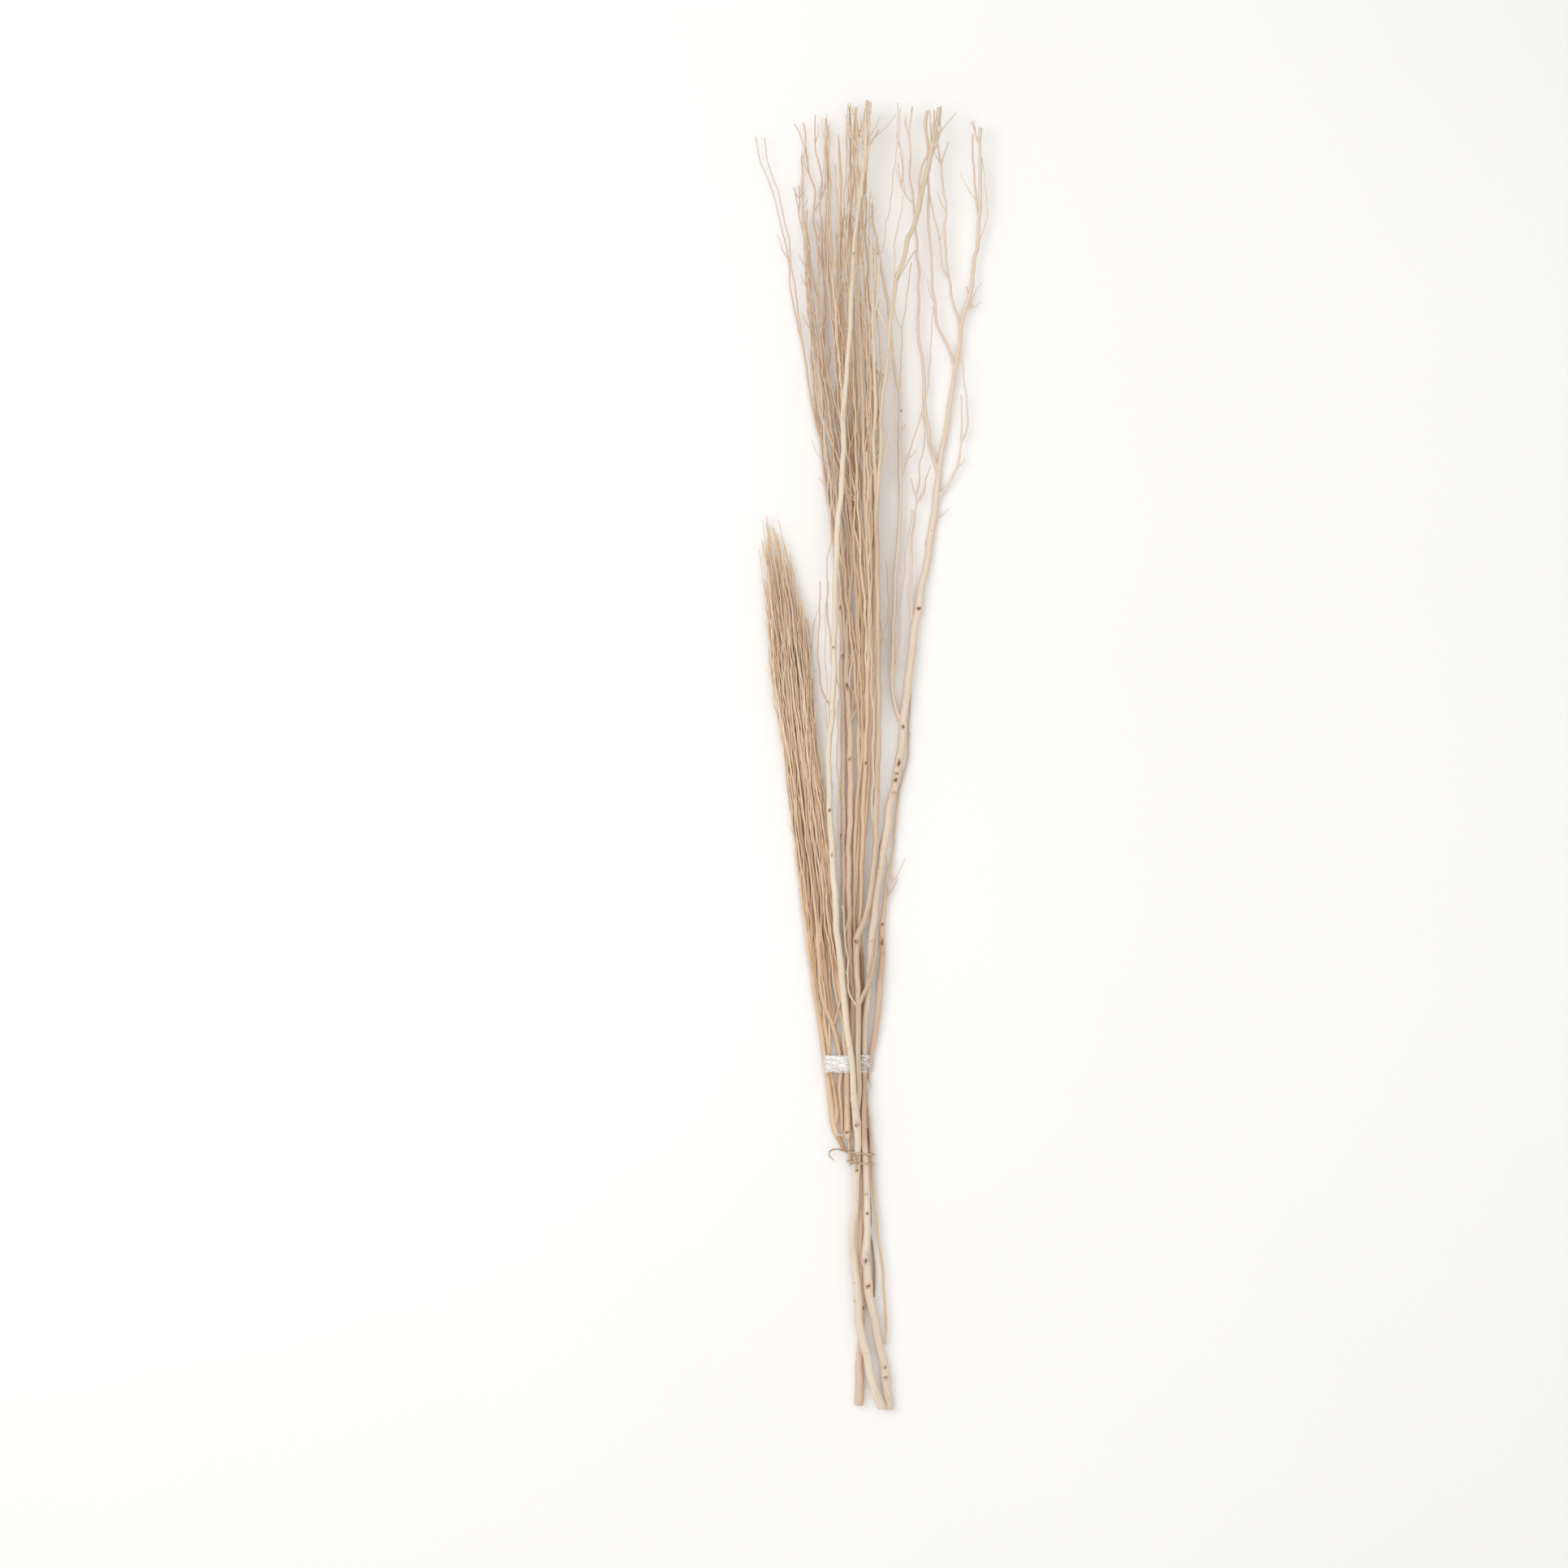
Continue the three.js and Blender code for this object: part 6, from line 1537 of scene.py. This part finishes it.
def tie_piece():
    """The whole tie: two turns that cross in a knot, and a curled tail."""
    tied = [stem_points(name) for name in TIED]
    tied += [stem_points("sheaf_right_spray", index) for index in SPRAY_ENDS]
    reach = TIE_CLEARANCE + STRIP_THICKNESS / 2
    held = band_outline(tied, TIE_LOWER - TIE_BELOW, TIE_UPPER + TIE_ABOVE, reach)
    outline = even_outline(held, TIE_POINTS)
    top = outline[:, 1].max()
    left_across, left_height = outline[outline[:, 0].argmin()]
    strands = []
    for along, slope, seed in TIE_TURNS:
        turn = [(across, along + slope * (across - MIDDLE_ACROSS + SLOPE_FROM), height)
                for across, height in outline]
        strands += twisted_strip(turn, True, seed)
    for number, knot in enumerate(TIE_KNOT):
        points = [(across, along, top + rise) for across, along, rise in knot]
        strands += twisted_strip(points, False, KNOT_SEED + number)
    tail = [(left_across, 321.5, left_height), (41.5, 323, left_height + 5), *TIE_TAIL]
    strands += twisted_strip(tail, False, TAIL_SEED, ease=TAIL_EASE)
    finish = tie_finish("twisted_bark_fibre", "E4D0B5", "C6A98A", "8A6A52")
    mesh = bake_wood("twisted_bark_tie", strands, TIE_BUILD, finish)
    return piece_of("twisted_bark_tie", [mesh])


tie = tie_piece()
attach(tie, "root")
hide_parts("bark_tie")

# A small pale twist of fibre lies on the sheaf's cut ends. Its points are [across, along, height].
WISP = ((27.5, 340, 11), (29.5, 341.5, 11.5), (32, 343, 11.7), (34.5, 342.5, 11.5), (37, 341.5, 11.1),
        (38.8, 342.5, 10.8))
WISP_SEED = 95
WISP_BUILD = (7, 0.02, 0.003, 0.1, 0.4)


def wisp_piece():
    strands = twisted_strip(WISP, False, WISP_SEED, fibres=5, width=2.4, thickness=2.2,
                            fibre_radius=0.5, ease=6.0)
    finish = tie_finish("pale_twisted_fibre", "F6EFE0", "E6D8BF", "B79F7C")
    return piece_of("pale_twist", [bake_wood("pale_twist", strands, WISP_BUILD, finish)])


wisp = wisp_piece()
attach(wisp, "root")
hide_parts("pale_wisp")

# Loose hairs of fibre: each starts on a branch and curls away. Points are [across, along, rise].
HAIR_RADIUS = (0.26, 0.1)
HAIR_SEED = 1200
HAIR_STEP = 1.6
HAIR_WANDER = 0.5
HAIR_WAVE = 13
HAIR_SHADE = 0.7
HAIR_BUILD = (4, 0.02, 0.003, 0.0, 0.3)
HAIRS = (
    ("knotty_branch", ((68, 352, 0), (73, 358, 2), (79, 361, 3), (83, 366, 2))),
    ("knotty_branch", ((68, 356, 0), (74, 364, 3), (76, 372, 3))),
    ("knotty_branch", ((67, 215, 0), (72, 222, 3), (77, 226, 3), (78, 233, 1))),
    ("knotty_branch", ((67, 206, 0), (73, 212, 2), (75, 220, 2))),
    ("right_side_branch", ((93, 655, 0), (91, 645, 4), (90.5, 633, 5), (92, 618, 4), (91, 606, 3))),
    ("right_side_branch", ((93, 652, 0), (95, 640, 4), (94, 628, 5), (96, 617, 4))),
    ("front_branch", ((57, 325, 0), (59, 329, 3), (62, 330, 5), (64, 327, 5))),
    ("sheaf_right_spray", ((4, 790, 0), (9, 776, 3), (12, 762, 3), (9, 750, 2))),
    ("sheaf_right_spray", ((-4, 870, 0), (1, 890, 3), (4, 905, 4), (3, 922, 4))),
    ("sheaf_left_spray", ((-47, 1010, 0), (-52, 1060, 3), (-48, 1095, 5), (-41, 1110, 6))),
    ("front_branch", ((38, 530, 0), (46, 536, 3), (50, 541, 3))),
    ("knotty_branch", ((107, 800, 0), (99, 770, 5), (97, 757, 6))),
    ("right_side_branch", ((70, 412, 0), (69, 420, 2), (70.5, 407, 3), (69.5, 396, 2), (68, 388, 1))),
    ("right_side_branch", ((71, 414, 0), (72, 402, 2), (69.5, 392, 3), (71.5, 384, 2))),
    ("right_side_branch", ((70, 411, 0), (74, 404, 1), (73, 397, 2))),
)


def hair_piece():
    """Every loose hair, each rooted on the nearest strand of its branch."""
    strands = []
    for number, (name, points) in enumerate(HAIRS):
        root = nearest_point([strand.route for strand in grown_branches[name]], points[0])
        spots = [(root[0], root[1], root[2])]
        spots += [(across, along, root[2] + rise) for across, along, rise in points[1:]]
        line = np.array([(*spot, 1.0) for spot in spots])
        route, at = smooth_route(line, HAIR_STEP)
        route = wander(route, at, HAIR_SEED + number, HAIR_WANDER, HAIR_WAVE, True)
        route[:, 3] = between(HAIR_RADIUS, at / at[-1])
        strands.append(Strand(route, 7.0 * number, np.full(len(route), HAIR_SHADE), False))
    return piece_of("loose_fibres", [bake_wood("loose_fibres", strands, HAIR_BUILD, BROWN_WOOD)])


hairs = hair_piece()
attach(hairs, "root")


# Pale floor, soft light, and a camera that looks straight down with the bunch right of the middle.
PHOTO_SIDE = 1932
PHOTO_ACROSS_START = 1000
PHOTO_BUTT_LINE = 1740
CAMERA_HEIGHT = 5.0
FRAME_MIDDLE = (PHOTO_SIDE / 2 - PHOTO_ACROSS_START - MIDDLE_ACROSS,
                PHOTO_BUTT_LINE - PHOTO_SIDE / 2 - MIDDLE_ALONG)
FLOOR_HALF = 6
FLOOR_LEVEL = -0.0003
WHITE = (1.0, 1.0, 1.0, 1.0)


def floor_finish():
    """A pale matt floor, a little uneven in tone."""
    finish, tree, shader = new_finish("pale_matt_floor")
    cloud = tree.noise(tree.node("ShaderNodeTexCoord")["Object"], 1.4, 3.0)
    colour = tree.blend(cloud, paint("F4F3F1"), paint("F8F7F5"))
    tree.links.new(colour.socket, shader.inputs["Base Color"])
    shader.inputs["Roughness"].default_value = 0.9
    shader.inputs["Specular IOR Level"].default_value = 0.1
    return finish


floor_mesh = bpy.data.meshes.new("pale_floor")
floor_mesh.from_pydata([(FLOOR_HALF * x, FLOOR_HALF * y, FLOOR_LEVEL)
                        for x, y in ((-1, -1), (1, -1), (1, 1), (-1, 1))], [], [(0, 1, 2, 3)])
floor_mesh.materials.append(floor_finish())
floor = piece_of("pale_floor", [floor_mesh])


def aim_turn(direction):
    """The turn that points a lamp, which shines along its own -Z, in a direction."""
    x, y, z = direction / np.linalg.norm(direction)
    return (math.acos(-z), 0.0, math.atan2(y, x) - math.pi / 2)


def soft_light(name, place, side, power):
    """A square soft light that points at the middle of the bunch."""
    light = bpy.data.lights.new(name, "AREA")
    light.shape = "SQUARE"
    light.size = side
    light.energy = power
    lamp = bpy.data.objects.new(name, light)
    bpy.context.scene.collection.objects.link(lamp)
    lamp.location = place
    lamp.rotation_euler = aim_turn(-np.array(place, float))


soft_light("left_softbox", (-1.9, 0.5, 2.7), 2.2, 36)
soft_light("top_softbox", (0.5, -0.2, 3.4), 2.6, 22)
world = bpy.data.worlds.new("soft_room")
world.use_nodes = True
world.node_tree.nodes["Background"].inputs["Color"].default_value = WHITE
world.node_tree.nodes["Background"].inputs["Strength"].default_value = 0.72
bpy.context.scene.world = world

lens = bpy.data.cameras.new("photo_camera")
lens.sensor_width = 36.0
lens.sensor_height = 36.0
lens.lens = lens.sensor_width * CAMERA_HEIGHT / (PHOTO_SIDE * MM)
lens.clip_end = 50.0
camera = bpy.data.objects.new("photo_camera", lens)
bpy.context.scene.collection.objects.link(camera)
camera.location = (FRAME_MIDDLE[0] * MM, FRAME_MIDDLE[1] * MM, CAMERA_HEIGHT)
bpy.context.scene.camera = camera
bpy.context.scene.view_settings.view_transform = "Standard"
